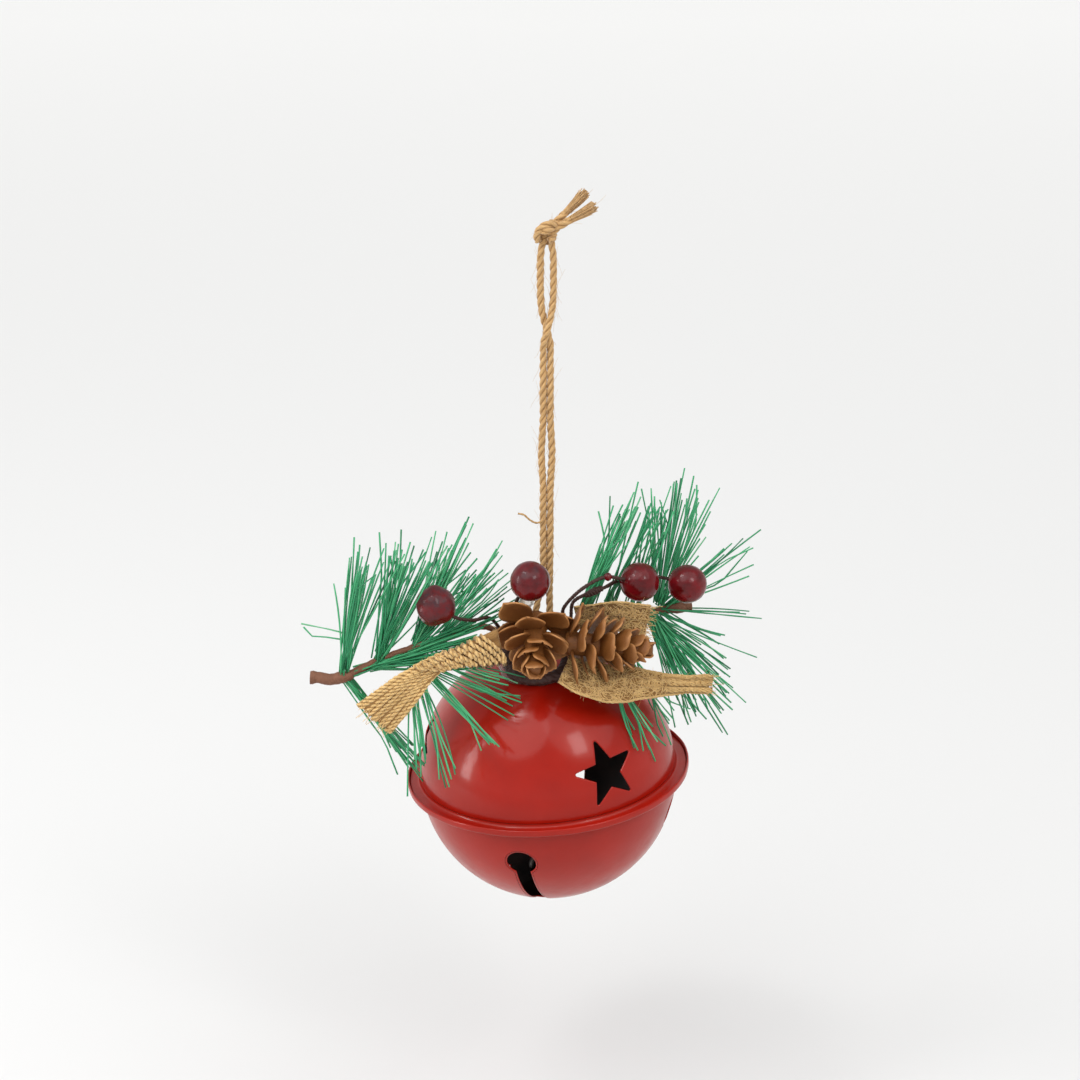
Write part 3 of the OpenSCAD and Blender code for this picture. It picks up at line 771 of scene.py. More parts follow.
def add_shell(name, node, sign, holes, outer_profile, inner_profile):
    """One pressed shell: its dome, the rolled edges of its holes, and its flange."""
    ball, triangles, loops, rings = dome(sign, holes)
    n = len(ball)
    points = [ball * BELL_R, ball * (BELL_R - SHEET_T)]
    faces, slots = [], []
    for a, b, c in triangles:
        outward = np.cross(ball[b] - ball[a], ball[c] - ball[a]) @ ball[a] > 0
        a, b, c = (a, b, c) if outward else (a, c, b)
        faces += [(a, b, c), (c + n, b + n, a + n)]
        slots += [0, 1]
    count = 2 * n

    def strip(first, second, slot):
        """Quads between two closed rings of vertex numbers."""
        for i in range(len(first)):
            j = (i + 1) % len(first)
            faces.append((first[i], first[j], second[j], second[i]))
            slots.append(slot)

    for loop, ring in zip(loops[:-1], rings):
        before = loop
        for middle in ring[1:-1]:
            points.append(middle)
            now = list(range(count, count + len(middle)))
            count += len(middle)
            strip(before, now, 0)
            before = now
        strip(before, [i + n for i in loop], 0)
    edge = loops[-1]
    angles = np.arctan2(ball[edge][:, 1], ball[edge][:, 0])
    before = edge
    for k, (r, z) in enumerate([*outer_profile, *inner_profile]):
        share = np.clip((r - 41.0) / 2, 0, 1)
        ripple = np.array([flange_ripple(a) for a in angles]) * share
        far = r + ripple * 0.5
        points.append(np.column_stack([np.cos(angles) * far, np.sin(angles) * far, z + ripple]))
        now = list(range(count, count + len(edge)))
        count += len(edge)
        strip(before, now, 0 if k < len(outer_profile) else 1)
        before = now
    strip(before, [i + n for i in edge], 1)
    build = Build()
    build.add(placed(np.vstack(points), BELL), faces)
    build.slots = slots

    def normals(mesh):
        """The ball's own normals on the dome, and the mesh's at its edges."""
        found = np.array([v.normal for v in mesh.vertices])
        radial = ball @ np.array(BELL)[:3, :3].T
        found[:n] = radial
        found[n:2 * n] = -radial
        return found.tolist()

    build.piece(name, "bell", "red_paint", PAINT, SHADED_INSIDE, replaces=[node], normals=normals)


# The names of the pieces can't be those of the CAD nodes, so the shells are called halves.
add_shell("upper_half", "upper_shell", 1, star_holes(), UPPER_OUT, UPPER_IN)
add_shell("lower_half", "lower_shell", -1, keyholes(), LOWER_OUT, LOWER_IN)

for name, material in (("hanging_eye", STEEL), ("jingle_ball", DARK_STEEL)):
    frame["nodes"][name].data.materials.clear()
    frame["nodes"][name].data.materials.append(material)


# ---- Stems, binding and glue ----
LEFT_BERRY = (-28.5, -12, 28)
MIDDLE_BERRY = (0, -8.5, 32)
RIGHT_BERRY = (32.5, 7, 20.5)
FAR_RIGHT_BERRY = (47, 10, 17)
BUD = (23, 3, 25.3)
WRAP = (18.2, 2, 21)
STEM_ROUTES = {
    "stem_left": [LEFT_BERRY, (-23, -12, 23.5), (-18, -10, 21), (-13, -4.5, 18), (-9.5, 0, 9)],
    "stem_middle": [MIDDLE_BERRY, (-4, -6, 25.5), (-6, -4, 20), (-8, -1.5, 14), (-9.5, 0.5, 9)],
    "stem_right": [(9.5, -1.5, 9), (9, -1.5, 14), (9, -1.5, 18), (13.5, -0.5, 22.5), (19, 1.5, 25), BUD,
                   (27, 4, 23.7), RIGHT_BERRY],
    "stem_far_right": [(10.5, -1, 9), (11, 0, 14), (12, 1, 18.5), (16, 1.6, 20.6), WRAP, (22, 3.5, 21.5),
                       (26, 10.5, 19.5), (33, 15, 17.5), (39, 14.5, 17.5), FAR_RIGHT_BERRY],
}
BINDING_ROUTE = [(-9.5, 2, 12), (-10.5, -1, 8), (-10.5, -6, 3), (-8, -11, 0.6), (-3, -13.5, 0), (3, -13.5, 0),
                 (8, -11, 0.6), (10.5, -6, 3), (10.5, -2, 8), (9.5, -0.5, 12)]
BINDING_SHRINK = 0.86
BERRY_R = 5.95
BUD_R = 1.25
GLUE_RING_R = 10.4
GLUE_DROP = (-1.6, -4.5, 23.5)
LEFT_SPRIG = [(-67.5, -18, 10), (-58.5, -18, 9), (-48, -15, 12), (-36, -12, 14.5), (-25, -8, 15.5),
              (-17, -1, 13.5), (-12, 4, 9), (-9.5, 3, 8)]
RIGHT_SPRIG = [(48, 22, 2.5), (40, 20, 3), (32, 16, 4.5), (24, 11, 8), (16, 6, 10.5), (11.5, 3, 9.5),
               (10.5, -0.5, 8)]


def add_stems():
    for k, (node, route) in enumerate(STEM_ROUTES.items()):
        rng = random.Random(10 + k)
        build = Build()
        sweep(build, smooth_route(route, 0.25), 0.58, sides=14, twist=0.55, lobes=2, depth=0.2, tone=1.0,
              matrix=CROWN, wobble=0.09, rng=rng)
        build.piece(node.replace("stem_", "wire_"), "bell", "stem_tape", DARK_TAPE, replaces=[node])
    build = Build()
    drawn_in = [(x * BINDING_SHRINK, y * BINDING_SHRINK, z) for x, y, z in BINDING_ROUTE]
    sweep(build, smooth_route(drawn_in, 0.3), 1.8, sides=24, twist=0.12, lobes=4, depth=0.16, tone=1.0,
          matrix=CROWN, wobble=0.06, rng=random.Random(20))
    build.piece("binding", "bell", "stem_tape", DARK_TAPE, replaces=["stem_binding"])
    wrap = Build()
    around = smooth_route([(15.6, 1.4, 20.2), WRAP, (21.3, 3.2, 21.5)], 0.2)
    bulge = 0.65 + 0.6 * np.sin(np.linspace(0, math.pi, len(around))) ** 0.8
    sweep(wrap, around, bulge, sides=16, twist=0.6, lobes=2, depth=0.2, tone=0.8, matrix=CROWN, wobble=0.1,
          rng=random.Random(21))
    wrap.piece("wrap", "bell", "stem_tape", DARK_TAPE, replaces=["stem_wrap"])


def ball_mesh(centre, radius, rough, seed, dust_and_shade_low=0.3, rows=40):
    """A berry: a slightly lumpy sphere. Its tone is the dusty frost on its upper side, which also paints
    shade on its top.
    """
    points, tones = [], []
    columns = rows * 2
    for i in range(rows + 1):
        polar = math.pi * i / rows
        for j in range(columns):
            turn = 2 * math.pi * j / columns
            d = Vector((math.sin(polar) * math.cos(turn), math.sin(polar) * math.sin(turn), math.cos(polar)))
            lump = rough * noise.noise(d * 1.7 + Vector((seed, 0, 0)))
            fine = 0.012 * noise.noise(d * 9 + Vector((0, seed, 0)))
            points.append(np.array(d) * radius * (1 + lump + fine) + np.array(centre))
            # Tone grows on the upper side: dusty frost, and also painted shade on the top.
            dust_and_shade = dust_and_shade_low + 0.75 * d.z + 0.35 * noise.noise(d * 2.5 + Vector((0, 0, seed)))
            tones.append(min(1.0, max(0.0, dust_and_shade)))
    return points, closed_faces(rows + 1, columns), tones


def add_ball(name, node, slot, material, ball):
    points, faces, tones = ball
    build = Build()
    build.add(placed(points, CROWN), faces, tones)
    merge_poles(build.piece(name, "bell", slot, material, replaces=[node]))


def add_berries():
    for k, (node, centre, rough, dust_and_shade) in enumerate((
            ("berry_left", LEFT_BERRY, 0.09, 0.45), ("berry_middle", MIDDLE_BERRY, 0.03, 0.05),
            ("berry_right", RIGHT_BERRY, 0.025, -0.25), ("berry_far_right", FAR_RIGHT_BERRY, 0.025, -0.2))):
        ball = ball_mesh(centre, BERRY_R, rough, 3.1 * k + 1, dust_and_shade)
        add_ball(node.replace("berry_", "fruit_"), node, "berry", BERRY, ball)
    add_ball("bud", "stem_bud", "berry", BERRY, ball_mesh(BUD, BUD_R, 0.12, 7.7, 0.0, 20))


def add_glue():
    """The ring of glue on the crown, lumpy and lower at the back, and the drop at the twine's foot."""
    rows, columns = 20, 120
    points = []
    for j in range(columns):
        turn = 2 * math.pi * j / columns
        front = 0.5 - 0.5 * math.sin(turn)
        lump = noise.noise(Vector((math.cos(turn) * 2, math.sin(turn) * 2, 5)))
        ring_r = GLUE_RING_R + 0.8 * lump
        bead = 1.6 + 0.4 * front + 0.4 * noise.noise(Vector((math.cos(turn) * 3, math.sin(turn) * 3, 1)))
        for i in range(rows):
            a = 2 * math.pi * i / rows
            r = ring_r + bead * math.cos(a) * 1.1
            z = math.sqrt(BELL_R ** 2 - ring_r ** 2) + bead * math.sin(a) * 0.9
            low = math.sqrt(max(BELL_R ** 2 - r * r, 0)) - 0.05
            points.append((r * math.cos(turn), r * math.sin(turn), max(z, low)))
    build = Build()
    build.add(placed(np.array(points) - np.array([0, 0, BELL_R]), CROWN), closed_faces(columns, rows, True))
    turn_faces_out(build.piece("glue_bead", "bell", "clear_glue", GLUE, replaces=["glue_ring"]))
    drop = ball_mesh(GLUE_DROP, 2.2, 0.25, 4.4, 0.5, 24)
    add_ball("glue_blob", "glue_drop", "clear_glue", CLOUDY_GLUE, drop)


add_stems()
add_berries()
add_glue()


# ---- Pinecones, scale by scale ----
FRONT_CONE = ((0.5, -6.5, 18.5), (-0.5, -28.5, 11))
SIDE_CONE = ((9, -11.5, 11.8), (37, -16.5, 10))


def scale_plate(width, length, cup, curl, thick, rng):
    """One scale: a cupped plate with a narrow root and a rounded, slightly wavy rim."""
    across, along = 12, 14
    top, run, rims = [], [], []
    waves = rng.uniform(0, 6.28)
    for j in range(along + 1):
        v = j / along
        if v < 0.6:
            half = 0.3 + 0.7 * math.sin(math.pi / 2 * v / 0.6) ** 0.9
        else:
            half = math.sqrt(max(0.0, 1 - ((v - 0.6) / 0.4) ** 2.4)) if v < 1 else 0.0
        half = max(half, 0.12)
        for i in range(across + 1):
            u = 2 * i / across - 1
            x = u * half * width
            y = v * length * (1 - 0.06 * u * u)
            ripple = 0.05 * width * math.sin(3 * u + waves) * v
            z = -cup * (u * half) ** 2 * (0.3 + 0.7 * v) - curl * v ** 2.2 + ripple
            top.append((x, y, z))
            run.append((x * 2, y * 2, 0))
            rims.append(max(abs(u) ** 3 * min(1, v * 1.6), max(0, (v - 0.62) / 0.38) ** 1.3))
    top = np.array(top)
    grid = top.reshape(along + 1, across + 1, 3)
    normal = unit(np.cross(np.gradient(grid, axis=1), np.gradient(grid, axis=0))).reshape(-1, 3)
    fade = np.array([0.45 + 0.55 * (1 - r) for r in rims])[:, None]
    points = np.vstack([top + normal * thick * fade / 2, top - normal * thick * fade / 2])
    return points, sheet_faces(along + 1, across + 1), np.array(rims + rims), np.array(run + run)


def add_cone(name, node, base, tip, count, open_base, open_tip, closing, first_turn, seed):
    """A core and its scales in a golden spiral. They open by open_base degrees at its foot and by open_tip
    at its tip, and closing says how late along the cone they close."""
    rng = random.Random(seed)
    base, tip = np.array(base, float), np.array(tip, float)
    axis = unit(tip - base)
    span = float(np.linalg.norm(tip - base))
    e1 = unit(np.cross(axis, [0.0, 0.0, 1.0]))
    e2 = np.cross(axis, e1)
    build = Build()
    heights = np.linspace(0.4, span * 0.92, 20)
    core = 3.2 * (1 - (heights / span) ** 2) ** 0.5 + 0.4
    sweep(build, base + heights[:, None] * axis, core, sides=16, tone=0.0, matrix=CROWN)
    for i in range(count):
        t = (i + 0.5) / count
        turn = first_turn + i * GOLDEN_TURN + rng.gauss(0, 0.05)
        alpha = math.radians(open_base + (open_tip - open_base) * t ** closing + rng.gauss(0, 3))
        length = 10.8 - 5.2 * t ** 1.5
        width = 5.2 - 2.7 * t ** 1.2
        height = span * 0.76 * t ** 0.9
        plate, faces, rims, run = scale_plate(width, length, 0.36 * width, 0.16 * length, 0.85, rng)
        out = math.cos(turn) * e1 + math.sin(turn) * e2
        side = -math.sin(turn) * e1 + math.cos(turn) * e2
        ahead = math.cos(alpha) * axis + math.sin(alpha) * out
        over = np.cross(side, ahead)
        root = base + axis * height + out * (2.4 * (1 - t) + 0.5)
        points = root + plate @ np.array([side, ahead, over])
        build.add(placed(points, CROWN), faces, rims, run + np.array([i * 7.3, i * 3.1, 0]))
    return build.piece(name, "bell", "pinecone", SCALE, replaces=[node])


add_cone("front_cone", "front_pinecone", *FRONT_CONE, 22, 94, 16, 1.5, 0.6, 31)
add_cone("side_cone", "side_pinecone", *SIDE_CONE, 28, 84, 22, 1.5, 2.1, 32)


# ---- Pine sprigs ----
# Bundles of needles: where they grow, where they end, how many, and the scatter of root and tip
LEFT_BUNDLES = [
    ((-57, -18, 12), (-48, -16, 50), 22, 1.2, 3), ((-57, -18, 11), (-43, -11, 47), 10, 1.2, 5),
    ((-58, -18, 11), (-52, -18, 49), 4, 1.0, 3),
    ((-47, -15, 13), (-38, -6, 48), 17, 1.4, 4.5), ((-47, -15, 13), (-31, -8, 44), 15, 1.4, 5),
    ((-46, -15, 13), (-27, 4, 38), 10, 1.4, 6),
    ((-36, -12, 15), (-25, 10, 36), 17, 1.6, 4.5), ((-36, -12, 15), (-18, 12, 37), 12, 1.6, 5),
    ((-35, -12, 15), (-12, 7, 31), 14, 1.6, 5),
    ((-28, -9, 15), (-8, 5, 30), 13, 1.6, 5), ((-28, -10, 15), (-7, -1, 22), 10, 1.6, 5),
    ((-54, -17, 10), (-16, -9, 18), 20, 1.5, 2.5), ((-48, -16, 11), (-13, -12, 15), 20, 1.5, 2.5),
    ((-50, -16, 10), (-14, -16, 11), 12, 1.5, 3),
    ((-57, -18, 8), (-38, -18, -25), 24, 0.9, 2.5), ((-56, -17, 8), (-44, -12, -22), 8, 1.2, 4),
    ((-35, -14, 10), (-2, -27, -4), 6, 2.0, 3), ((-35, -14, 10), (-14, -34, -9), 10, 1.2, 2),
    ((-36, -14, 9), (-28, -36, -20), 7, 1.8, 4), ((-38, -14, 9), (-36, -34, -19), 8, 1.8, 5),
    ((-33, -13, 12), (-9, -22, 4), 11, 2.0, 4),
]
RIGHT_BUNDLES = [
    ((15, 4, 15), (27, 10, 42), 14, 2.0, 4), ((17, 6, 14), (33, 15, 44), 17, 2.0, 4),
    ((22, 9, 11), (38, 17, 41), 15, 2.2, 4.5), ((30, 14, 8), (40, 20, 40), 13, 2.0, 4.5),
    ((38, 19, 6), (41, 17, 47), 10, 1.4, 3.5), ((39, 19, 6), (49, 23, 46), 15, 1.4, 4.5),
    ((39, 19, 6), (56, 28, 38), 11, 1.4, 5), ((39, 20, 5), (60, 25, 24), 8, 1.4, 6),
    ((40, 20, 4), (69, 25, 25), 4, 1.0, 2.5), ((40, 20, 4), (69, 24, 14), 3, 1.0, 2),
    ((39, 19, 4), (67, 20, 0), 4, 1.0, 4), ((37, 18, 4), (58, 16, -6), 6, 1.4, 4),
    ((36, 14, 4), (58, 9, -19), 12, 1.6, 4), ((36, 14, 4), (54, 5, -25), 14, 1.6, 5),
    ((35, 13, 4), (48, 1, -27), 14, 1.6, 5), ((36, 14, 5), (46, 6, -19), 12, 1.6, 5),
    ((36, 15, 5), (55, 13, -12), 8, 1.6, 5),
    ((24, -12, 0), (34, -19, -30), 3, 1.5, 2), ((23, -11, 0), (30, -21, -18), 9, 2.0, 4),
    ((28, -6, 2), (38, -12, -22), 8, 2.0, 4),
]
LEFT_CURLS = [[(-58, -18, 11), (-54.5, -18, 18), (-54, -18, 22.5), (-57.5, -18, 25), (-68, -18, 28.5)],
              [(-58, -18, 11), (-55, -17.5, 17), (-56.5, -17.5, 21.5), (-61, -17.5, 23), (-66, -17.5, 24),
               (-67.5, -17.5, 27)]]


def needle(build, route, rng, width=0.29):
    """A flat tapered strip along a short route, with its own shade of green."""
    path = smooth_route(route, 4.2) if len(route) > 3 else np.array(route)
    n = len(path)
    share = np.linspace(0, 1, n)
    shape = width * np.interp(share, (0, 0.15, 1), (0.8, 1, 0.9))
    shade = min(1.0, max(0.0, rng.gauss(0.5, 0.17)))
    sweep(build, path, shape, sides=4, twist=rng.uniform(-0.02, 0.02), matrix=CROWN, squash=0.45, tone=shade)


def bundle(build, base, tip, count, root_scatter, tip_scatter, rng):
    base, tip = np.array(base, float), np.array(tip, float)
    for _ in range(count):
        start = base + jitter(rng, root_scatter * 0.5)
        end = tip + jitter(rng, tip_scatter * 0.7)
        end = start + (end - start) * rng.uniform(0.78, 1.03)
        bow = jitter(rng, 0.4)
        bent = jitter(rng, 2.2) if rng.random() < 0.18 else np.zeros(3)
        route = [start + (end - start) * s + bow * 4 * s * (1 - s) + bent * max(0, (s - 0.68) / 0.32)
                 for s in np.linspace(0, 1, 7)]
        needle(build, clear_of_bell(np.array(route)), rng)


def clear_of_bell(route):
    """Lifts points of a needle that would pass through the bell's dome."""
    local = route + np.array([0, 0, BELL_R])
    far = np.linalg.norm(local, axis=1)
    low = (far < BELL_R + 0.7)[:, None]
    lifted = unit(local) * (BELL_R + 0.7)
    return np.where(low, lifted, local) - np.array([0, 0, BELL_R])


def add_sprig(side, route, bundles, curls, seed):
    rng = random.Random(seed)
    stem = Build()
    path = smooth_route(route, 0.4)
    share = np.linspace(0, 1, len(path))
    thick = np.interp(share, (0, 0.02, 0.15, 0.2, 0.35, 1), (2.15, 1.95, 1.85, 1.3, 1.05, 0.95))
    sweep(stem, path, thick, sides=20, twist=0.16, lobes=1, depth=0.2, tone=1.0, matrix=CROWN, wobble=0.06,
          rng=rng)
    stem.piece(side + "_sprig_wire", "bell", "sprig_tape", BROWN_TAPE, replaces=[side + "_sprig_stem"])
    build = Build()
    for base, tip, count, root_scatter, tip_scatter in bundles:
        bundle(build, base, tip, count, root_scatter, tip_scatter, rng)
    for curl in curls:
        needle(build, curl, rng, 0.3)
    build.piece(side + "_sprig_pine", "bell", "needles", NEEDLE, replaces=[side + "_sprig_needles"])


add_sprig("left", LEFT_SPRIG, LEFT_BUNDLES, LEFT_CURLS, 41)
add_sprig("right", RIGHT_SPRIG, RIGHT_BUNDLES, [], 42)


# ---- Ribbon: woven jute, yarn over yarn ----
RIBBON_W = 15.0
LEFT_RIBBON = [
    ((-10, -17, 15.5), (-0.1, 0.35, 1), 0.75), ((-17, -19, 15), (0, 0.3, 1), 0.6),
    ((-24, -20, 14), (0.1, 0.2, 1), 0.38), ((-28, -20.5, 13.3), (0.2, 0.1, 1), 0.3),
    ((-33, -22, 11), (-0.3, 0.05, 1), 0.45), ((-39, -24, 7), (-0.5, 0, 1), 0.7),
    ((-44, -25, 3), (-0.6, 0, 1), 0.88), ((-49, -26, -1), (-0.7, 0, 1), 1),
]
UPPER_RIBBON = [
    ((13, 1, 11.5), (0, -0.2, 1), 0.8), ((19, 1.5, 12.5), (0, -0.2, 1), 0.7),
    ((25, 1.2, 12.5), (0, -0.1, 1), 0.7), ((30, 0.8, 11), (0, 0, 1), 0.7), ((34, 0.6, 10), (0, 0, 1), 0.75),
]
LOWER_RIBBON = [
    ((8, -18, 6.5), (0, 1, 0.5), 0.7), ((14, -19.5, 3.6), (0, 1, 0.4), 0.85),
    ((21, -19, 1), (0, 1, 0.45), 0.88), ((28, -17, -0.6), (0, 1, 0.5), 0.8),
    ((34, -16, -2), (0.1, 1, 0.6), 0.6), ((40, -15, -3.2), (0.1, 0.8, 0.8), 0.42),
    ((45.5, -14.3, -4), (0.1, 0.3, 1), 0.33), ((51, -14, -4.6), (0.1, 0.1, 1), 0.4),
]


class Ribbon:
    """A strip along given stations: at(s, u) is the point s along it and u across, -1 to 1."""

    def __init__(self, stations, folds=0.0):
        middles = np.array([s[0] for s in stations], float)
        self.path = smooth_route(middles, 0.5)
        self.length = float(travelled(self.path)[-1])
        place = np.linspace(0, 1, len(stations))
        self.share = np.linspace(0, 1, len(self.path))
        wide = np.stack([np.interp(self.share, place, [s[1][k] for s in stations]) for k in range(3)], axis=1)
        ahead = unit(np.gradient(self.path, axis=0))
        self.normal = unit(np.cross(wide, ahead))
        self.wide = np.cross(ahead, self.normal)
        self.half = np.interp(self.share, place, [s[2] for s in stations]) * RIBBON_W / 2
        self.folds = folds

    def at(self, s, u, lift=0.0):
        s, u, lift = np.broadcast_arrays(np.asarray(s, float), u, lift)
        pick = [np.stack([np.interp(s, self.share, a[:, k]) for k in range(3)], axis=-1)
                for a in (self.path, self.wide, self.normal)]
        half = np.interp(s, self.share, self.half)
        tight = 1 - half / (RIBBON_W / 2)
        gather = self.folds * tight * np.cos(u * 9 + 2 * s) + 0.35 * np.sin(7 * s + 2 * u)
        return pick[0] + pick[1] * (u * half)[..., None] + pick[2] * (gather + lift)[..., None]


def cloth_mesh(ribbon):
    """The ribbon's ground cloth, thin and closed, below its yarns. Its low tone paints shade in the gaps
    between them.
    """
    rows, columns = max(8, int(ribbon.length / 0.8)), 17
    s, u = np.meshgrid(np.linspace(0, 1, rows), np.linspace(-0.96, 0.96, columns), indexing="ij")
    points = np.concatenate([ribbon.at(s, u, 0.1).reshape(-1, 3), ribbon.at(s, u, -0.1).reshape(-1, 3)])
    run = np.concatenate([np.stack([u * 8, s * ribbon.length, 0 * s], axis=-1).reshape(-1, 3)] * 2)
    return Build().add(placed(points, CROWN), sheet_faces(rows, columns), 0.08, run)


def lengthwise(yarns, ribbon, count, thick, first, fray, rng):
    """Twisted yarns side by side along the ribbon, from a share of its length to its frayed end."""
    samples = np.linspace(first, 1, max(14, int(ribbon.length * (1 - first) / 0.55)))
    ahead = unit(ribbon.path[-1] - ribbon.path[-4])
    for k in range(count):
        place = -1 + 2 * (k + 0.5) / count
        reach = rng.uniform(0, fray)
        sway = 0.03 * np.sin(samples * rng.uniform(5, 9) + rng.uniform(0, 6))
        side = rng.choice((-1, 1))
        path = ribbon.at(samples, place + sway, 0.22 * side * np.ones(len(samples)))
        beyond = np.array([path[-1] + ahead * reach * t for t in (0.5, 1.0)])
        path = np.vstack([path, beyond])
        path = path + np.array([jitter(rng, 0.05) for _ in path])
        room = np.interp(np.append(samples, [1, 1]), ribbon.share, ribbon.half)
        girth = np.minimum(thick, 1.15 * room / count + 0.2) * rng.uniform(0.9, 1.1)
        sweep(yarns, path, girth, sides=12, twist=0.28, lobes=2, depth=0.42, tone=rng.uniform(0.8, 1.0),
              matrix=CROWN)


def slanting(yarns, ribbon, count, thick, last, rng):
    """Thick twisted yarns lying slantwise across the ribbon, on both of its faces."""
    for face in (-1, 1):
        for k in range(count):
            s0 = last * k / count
            share = np.linspace(0, 1, 12)
            s = np.clip(s0 + 0.16 * (share - 0.3) + rng.gauss(0, 0.004), 0, 1)
            edge = np.sqrt(np.clip(1 - (2 * share - 1) ** 2, 0, 1))
            path = ribbon.at(s, (2 * share - 1) * 1.02, face * (0.25 + 0.75 * edge))
            sweep(yarns, path, thick * rng.uniform(0.85, 1.1), sides=12, twist=0.25, lobes=2, depth=0.4,
                  tone=rng.uniform(0.8, 1.0), matrix=CROWN)


def felted(yarns, ribbon, count, thick, rng):
    """Short fibres lying every way in the cloth, with a cord along each of its edges."""
    for _ in range(count):
        s0, u0 = rng.random(), rng.uniform(-1, 1)
        turn, span = rng.uniform(0, math.pi), rng.uniform(1.5, 4.5)
        bow, face = rng.gauss(0, 0.6), rng.choice((-1, 1))
        share = np.linspace(-0.5, 0.5, 6)
        along = span * math.cos(turn) / ribbon.length
        half = max(1.0, float(np.interp(s0, ribbon.share, ribbon.half)))
        s = np.clip(s0 + along * share, 0, 1.0)
        u = np.clip(u0 + (span * math.sin(turn) * share + bow * share ** 2) / half, -1.02, 1.02)
        path = ribbon.at(s, u, face * (0.12 + 0.25 * rng.random() * (1 - 2 * np.abs(share))))
        sweep(yarns, path, thick * rng.uniform(0.6, 1.3), sides=4, tone=rng.uniform(0.5, 1.0), matrix=CROWN)
    samples = np.linspace(0, 1, int(ribbon.length / 0.5))
    for edge in (-1, 1):
        path = ribbon.at(samples, edge + 0.012 * np.sin(samples * 40), 0.0)
        sweep(yarns, path, 0.42, sides=10, twist=0.3, lobes=2, depth=0.35, tone=1.0, matrix=CROWN)


def frayed_fuzz(ribbon, per_mm, rng):
    fuzz = Build()
    for _ in range(int(ribbon.length * per_mm)):
        s0, u0 = rng.random(), rng.choice((rng.uniform(-1, 1), rng.choice((-1, 1))))
        start = ribbon.at(s0, u0, rng.choice((-0.4, 0.4)))
        toward = jitter(rng, 1)
        size = rng.uniform(0.8, 2.6)
        route = [start + toward * size * 0.45 * t + jitter(rng, 0.15) * t
                 for t in (0, 0.35, 0.7, 1)]
        sweep(fuzz, smooth_route(route, 0.5), 0.04, sides=3, tone=rng.uniform(0.6, 1), matrix=CROWN)
    ahead = unit(ribbon.path[-1] - ribbon.path[-4])
    for _ in range(70):
        start = ribbon.at(rng.uniform(0.93, 1), rng.uniform(-1, 1), rng.uniform(-0.3, 0.3))
        toward = ahead + jitter(rng, 0.35)
        route = [start + toward * rng.uniform(1, 3) * t for t in (0, 0.5, 1)]
        sweep(fuzz, smooth_route(route, 0.6), 0.08, sides=4, tone=rng.uniform(0.7, 1), matrix=CROWN)
    return fuzz


def add_ribbon(name, node, stations, folds, material, weave, seed):
    rng = random.Random(seed)
    ribbon = Ribbon(stations, folds)
    cloth = cloth_mesh(ribbon).piece(name, "bell", "ribbon", material, replaces=[node])
    yarns = Build()
    weave(yarns, ribbon, rng)
    yarn_piece = yarns.piece(name + "_weave", "bell", "ribbon", material)
    fuzz_piece = frayed_fuzz(ribbon, 5, rng).piece(name + "_fuzz", "bell", "ribbon", material)


def corded(yarns, ribbon, rng):
    lengthwise(yarns, ribbon, 10, 0.72, 0.38, 0.8, rng)
    slanting(yarns, ribbon, 11, 0.85, 0.5, rng)


def upper_burlap(yarns, ribbon, rng):
    felted(yarns, ribbon, 650, 0.13, rng)


def lower_burlap(yarns, ribbon, rng):
    felted(yarns, ribbon, 1600, 0.13, rng)
    lengthwise(yarns, ribbon, 9, 0.5, 0.72, 1.6, rng)


add_ribbon("left_ribbon", "ribbon_left", LEFT_RIBBON, 0.9, STRAW, corded, 51)
add_ribbon("upper_ribbon", "ribbon_upper", UPPER_RIBBON, 0.3, BURLAP, upper_burlap, 52)
add_ribbon("lower_ribbon", "ribbon_lower", LOWER_RIBBON, 0.9, BURLAP, lower_burlap, 53)


# ---- Floor, world and studio lights ----
WORLD_LOW = 0.97
WORLD_HIGH = 0.36
FLOOR_DROP = 0.08
FLOOR_HALF = 6.0


def add_lamp(name, kind, energy, way, place=(0, 0, 0)):
    """A light that stands at a place and shines from the direction way."""
    data = bpy.data.lights.new(name, kind)
    data.energy = energy
    lamp = bpy.data.objects.new(name, data)
    bpy.context.collection.objects.link(lamp)
    lamp.location = place
    lamp.rotation_euler = (-Vector(way)).to_track_quat("-Z", "Y").to_euler()
    return data


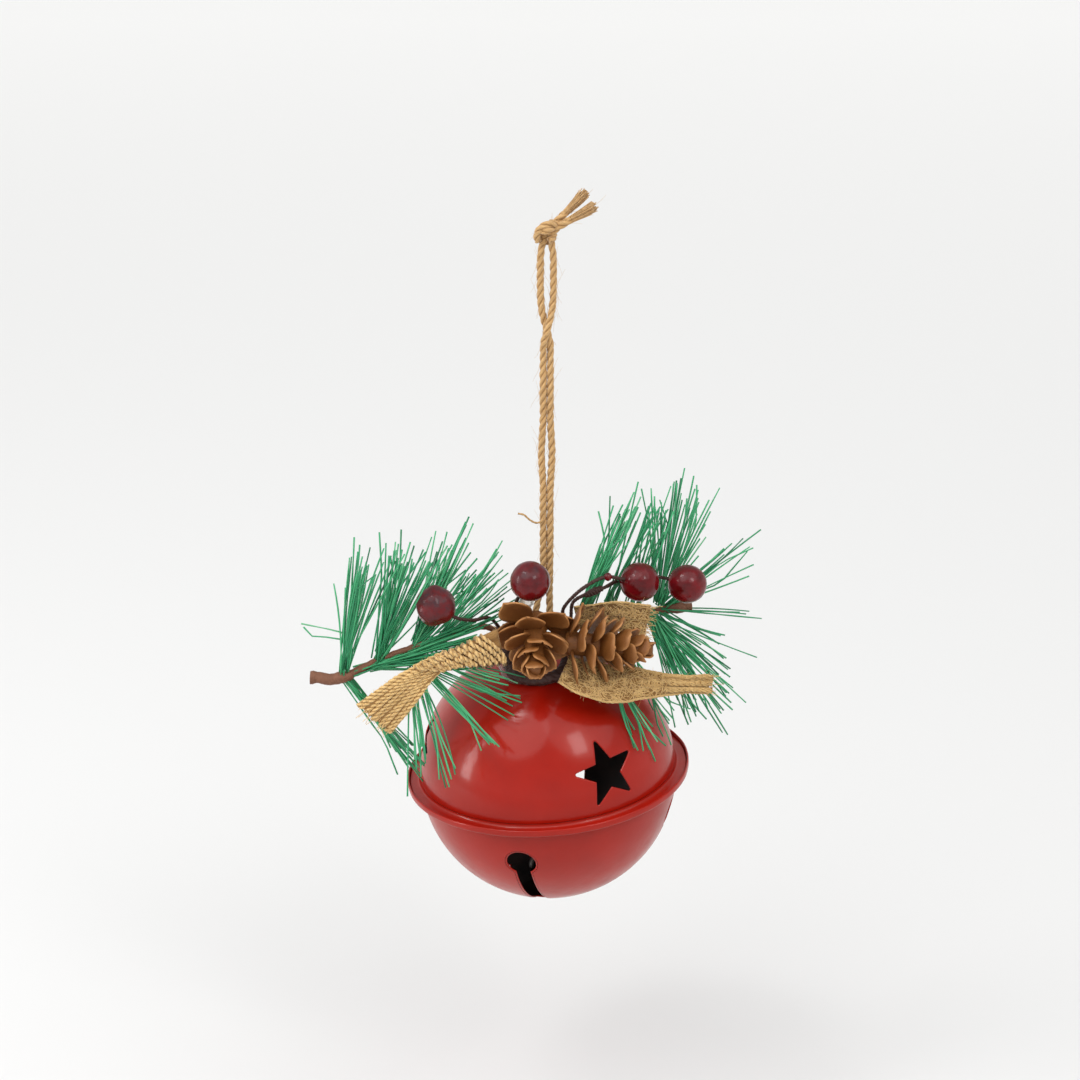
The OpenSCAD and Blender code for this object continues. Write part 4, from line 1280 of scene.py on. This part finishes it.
def add_floor():
    z = cad_box[0][2] - FLOOR_DROP
    corners = [(x * FLOOR_HALF, y * FLOOR_HALF, z) for x, y in ((-1, -1), (1, -1), (1, 1), (-1, 1))]
    mesh = bpy.data.meshes.new("floor")
    mesh.from_pydata(corners, [], [(0, 1, 2, 3)])
    floor = bpy.data.objects.new("floor", mesh)
    bpy.context.collection.objects.link(floor)
    s = Shader("floor", 0.9, Specular_IOR_Level=0.0)
    depth = s.node("ShaderNodeSeparateXYZ")
    s.link(s.coordinates(), depth.inputs[0])
    # Painted shade: the floor's colour is darker close to the bell and camera, where the lamps light it most,
    # so that it shows evenly bright.
    painted_shade_fade = s.spread(depth.outputs["Y"], 0.0, 1.0, 0.0, 2.0)
    s.link(s.ramp(painted_shade_fade, (0.0, (0.77, 0.77, 0.765)), (1.0, (0.925, 0.925, 0.915))), "Base Color")
    mesh.materials.append(s.material)


def add_world():
    world = bpy.data.worlds.new("studio")
    bpy.context.scene.world = world
    world.use_nodes = True
    nodes, links = world.node_tree.nodes, world.node_tree.links
    direction = nodes.new("ShaderNodeTexCoord")
    split = nodes.new("ShaderNodeSeparateXYZ")
    ramp = nodes.new("ShaderNodeValToRGB")
    links.new(direction.outputs["Generated"], split.inputs[0])
    links.new(split.outputs["Z"], ramp.inputs["Fac"])
    ramp.color_ramp.elements[0].color = (*[WORLD_LOW] * 3, 1)
    ramp.color_ramp.elements[1].color = (*[WORLD_HIGH] * 3, 1)
    ramp.color_ramp.elements[1].position = 0.75
    links.new(ramp.outputs["Color"], nodes["Background"].inputs["Color"])


def add_lights():
    for name, way, angle, energy in (
            ("left_sun", (-0.5, -0.5, 1.0), 50, 1.05), ("right_sun", (0.5, -0.35, 1.0), 60, 0.9)):
        add_lamp(name, "SUN", energy, way).angle = math.radians(angle)
    for name, way, size, energy in (
            ("left_box", (-0.85, -0.2, 0.24), (0.16, 0.5), 2.3),
            ("top_box", (-0.33, -0.14, 0.72), (0.15, 0.15), 0.7),
            ("right_box", (0.38, -0.52, 0.63), (0.2, 0.28), 1.2)):
        data = add_lamp(name, "AREA", energy, way, CENTRE + Vector(way))
        data.shape = "RECTANGLE"
        data.size, data.size_y = size


add_floor()
add_world()
add_lights()
bpy.context.scene.view_settings.view_transform = "Standard"
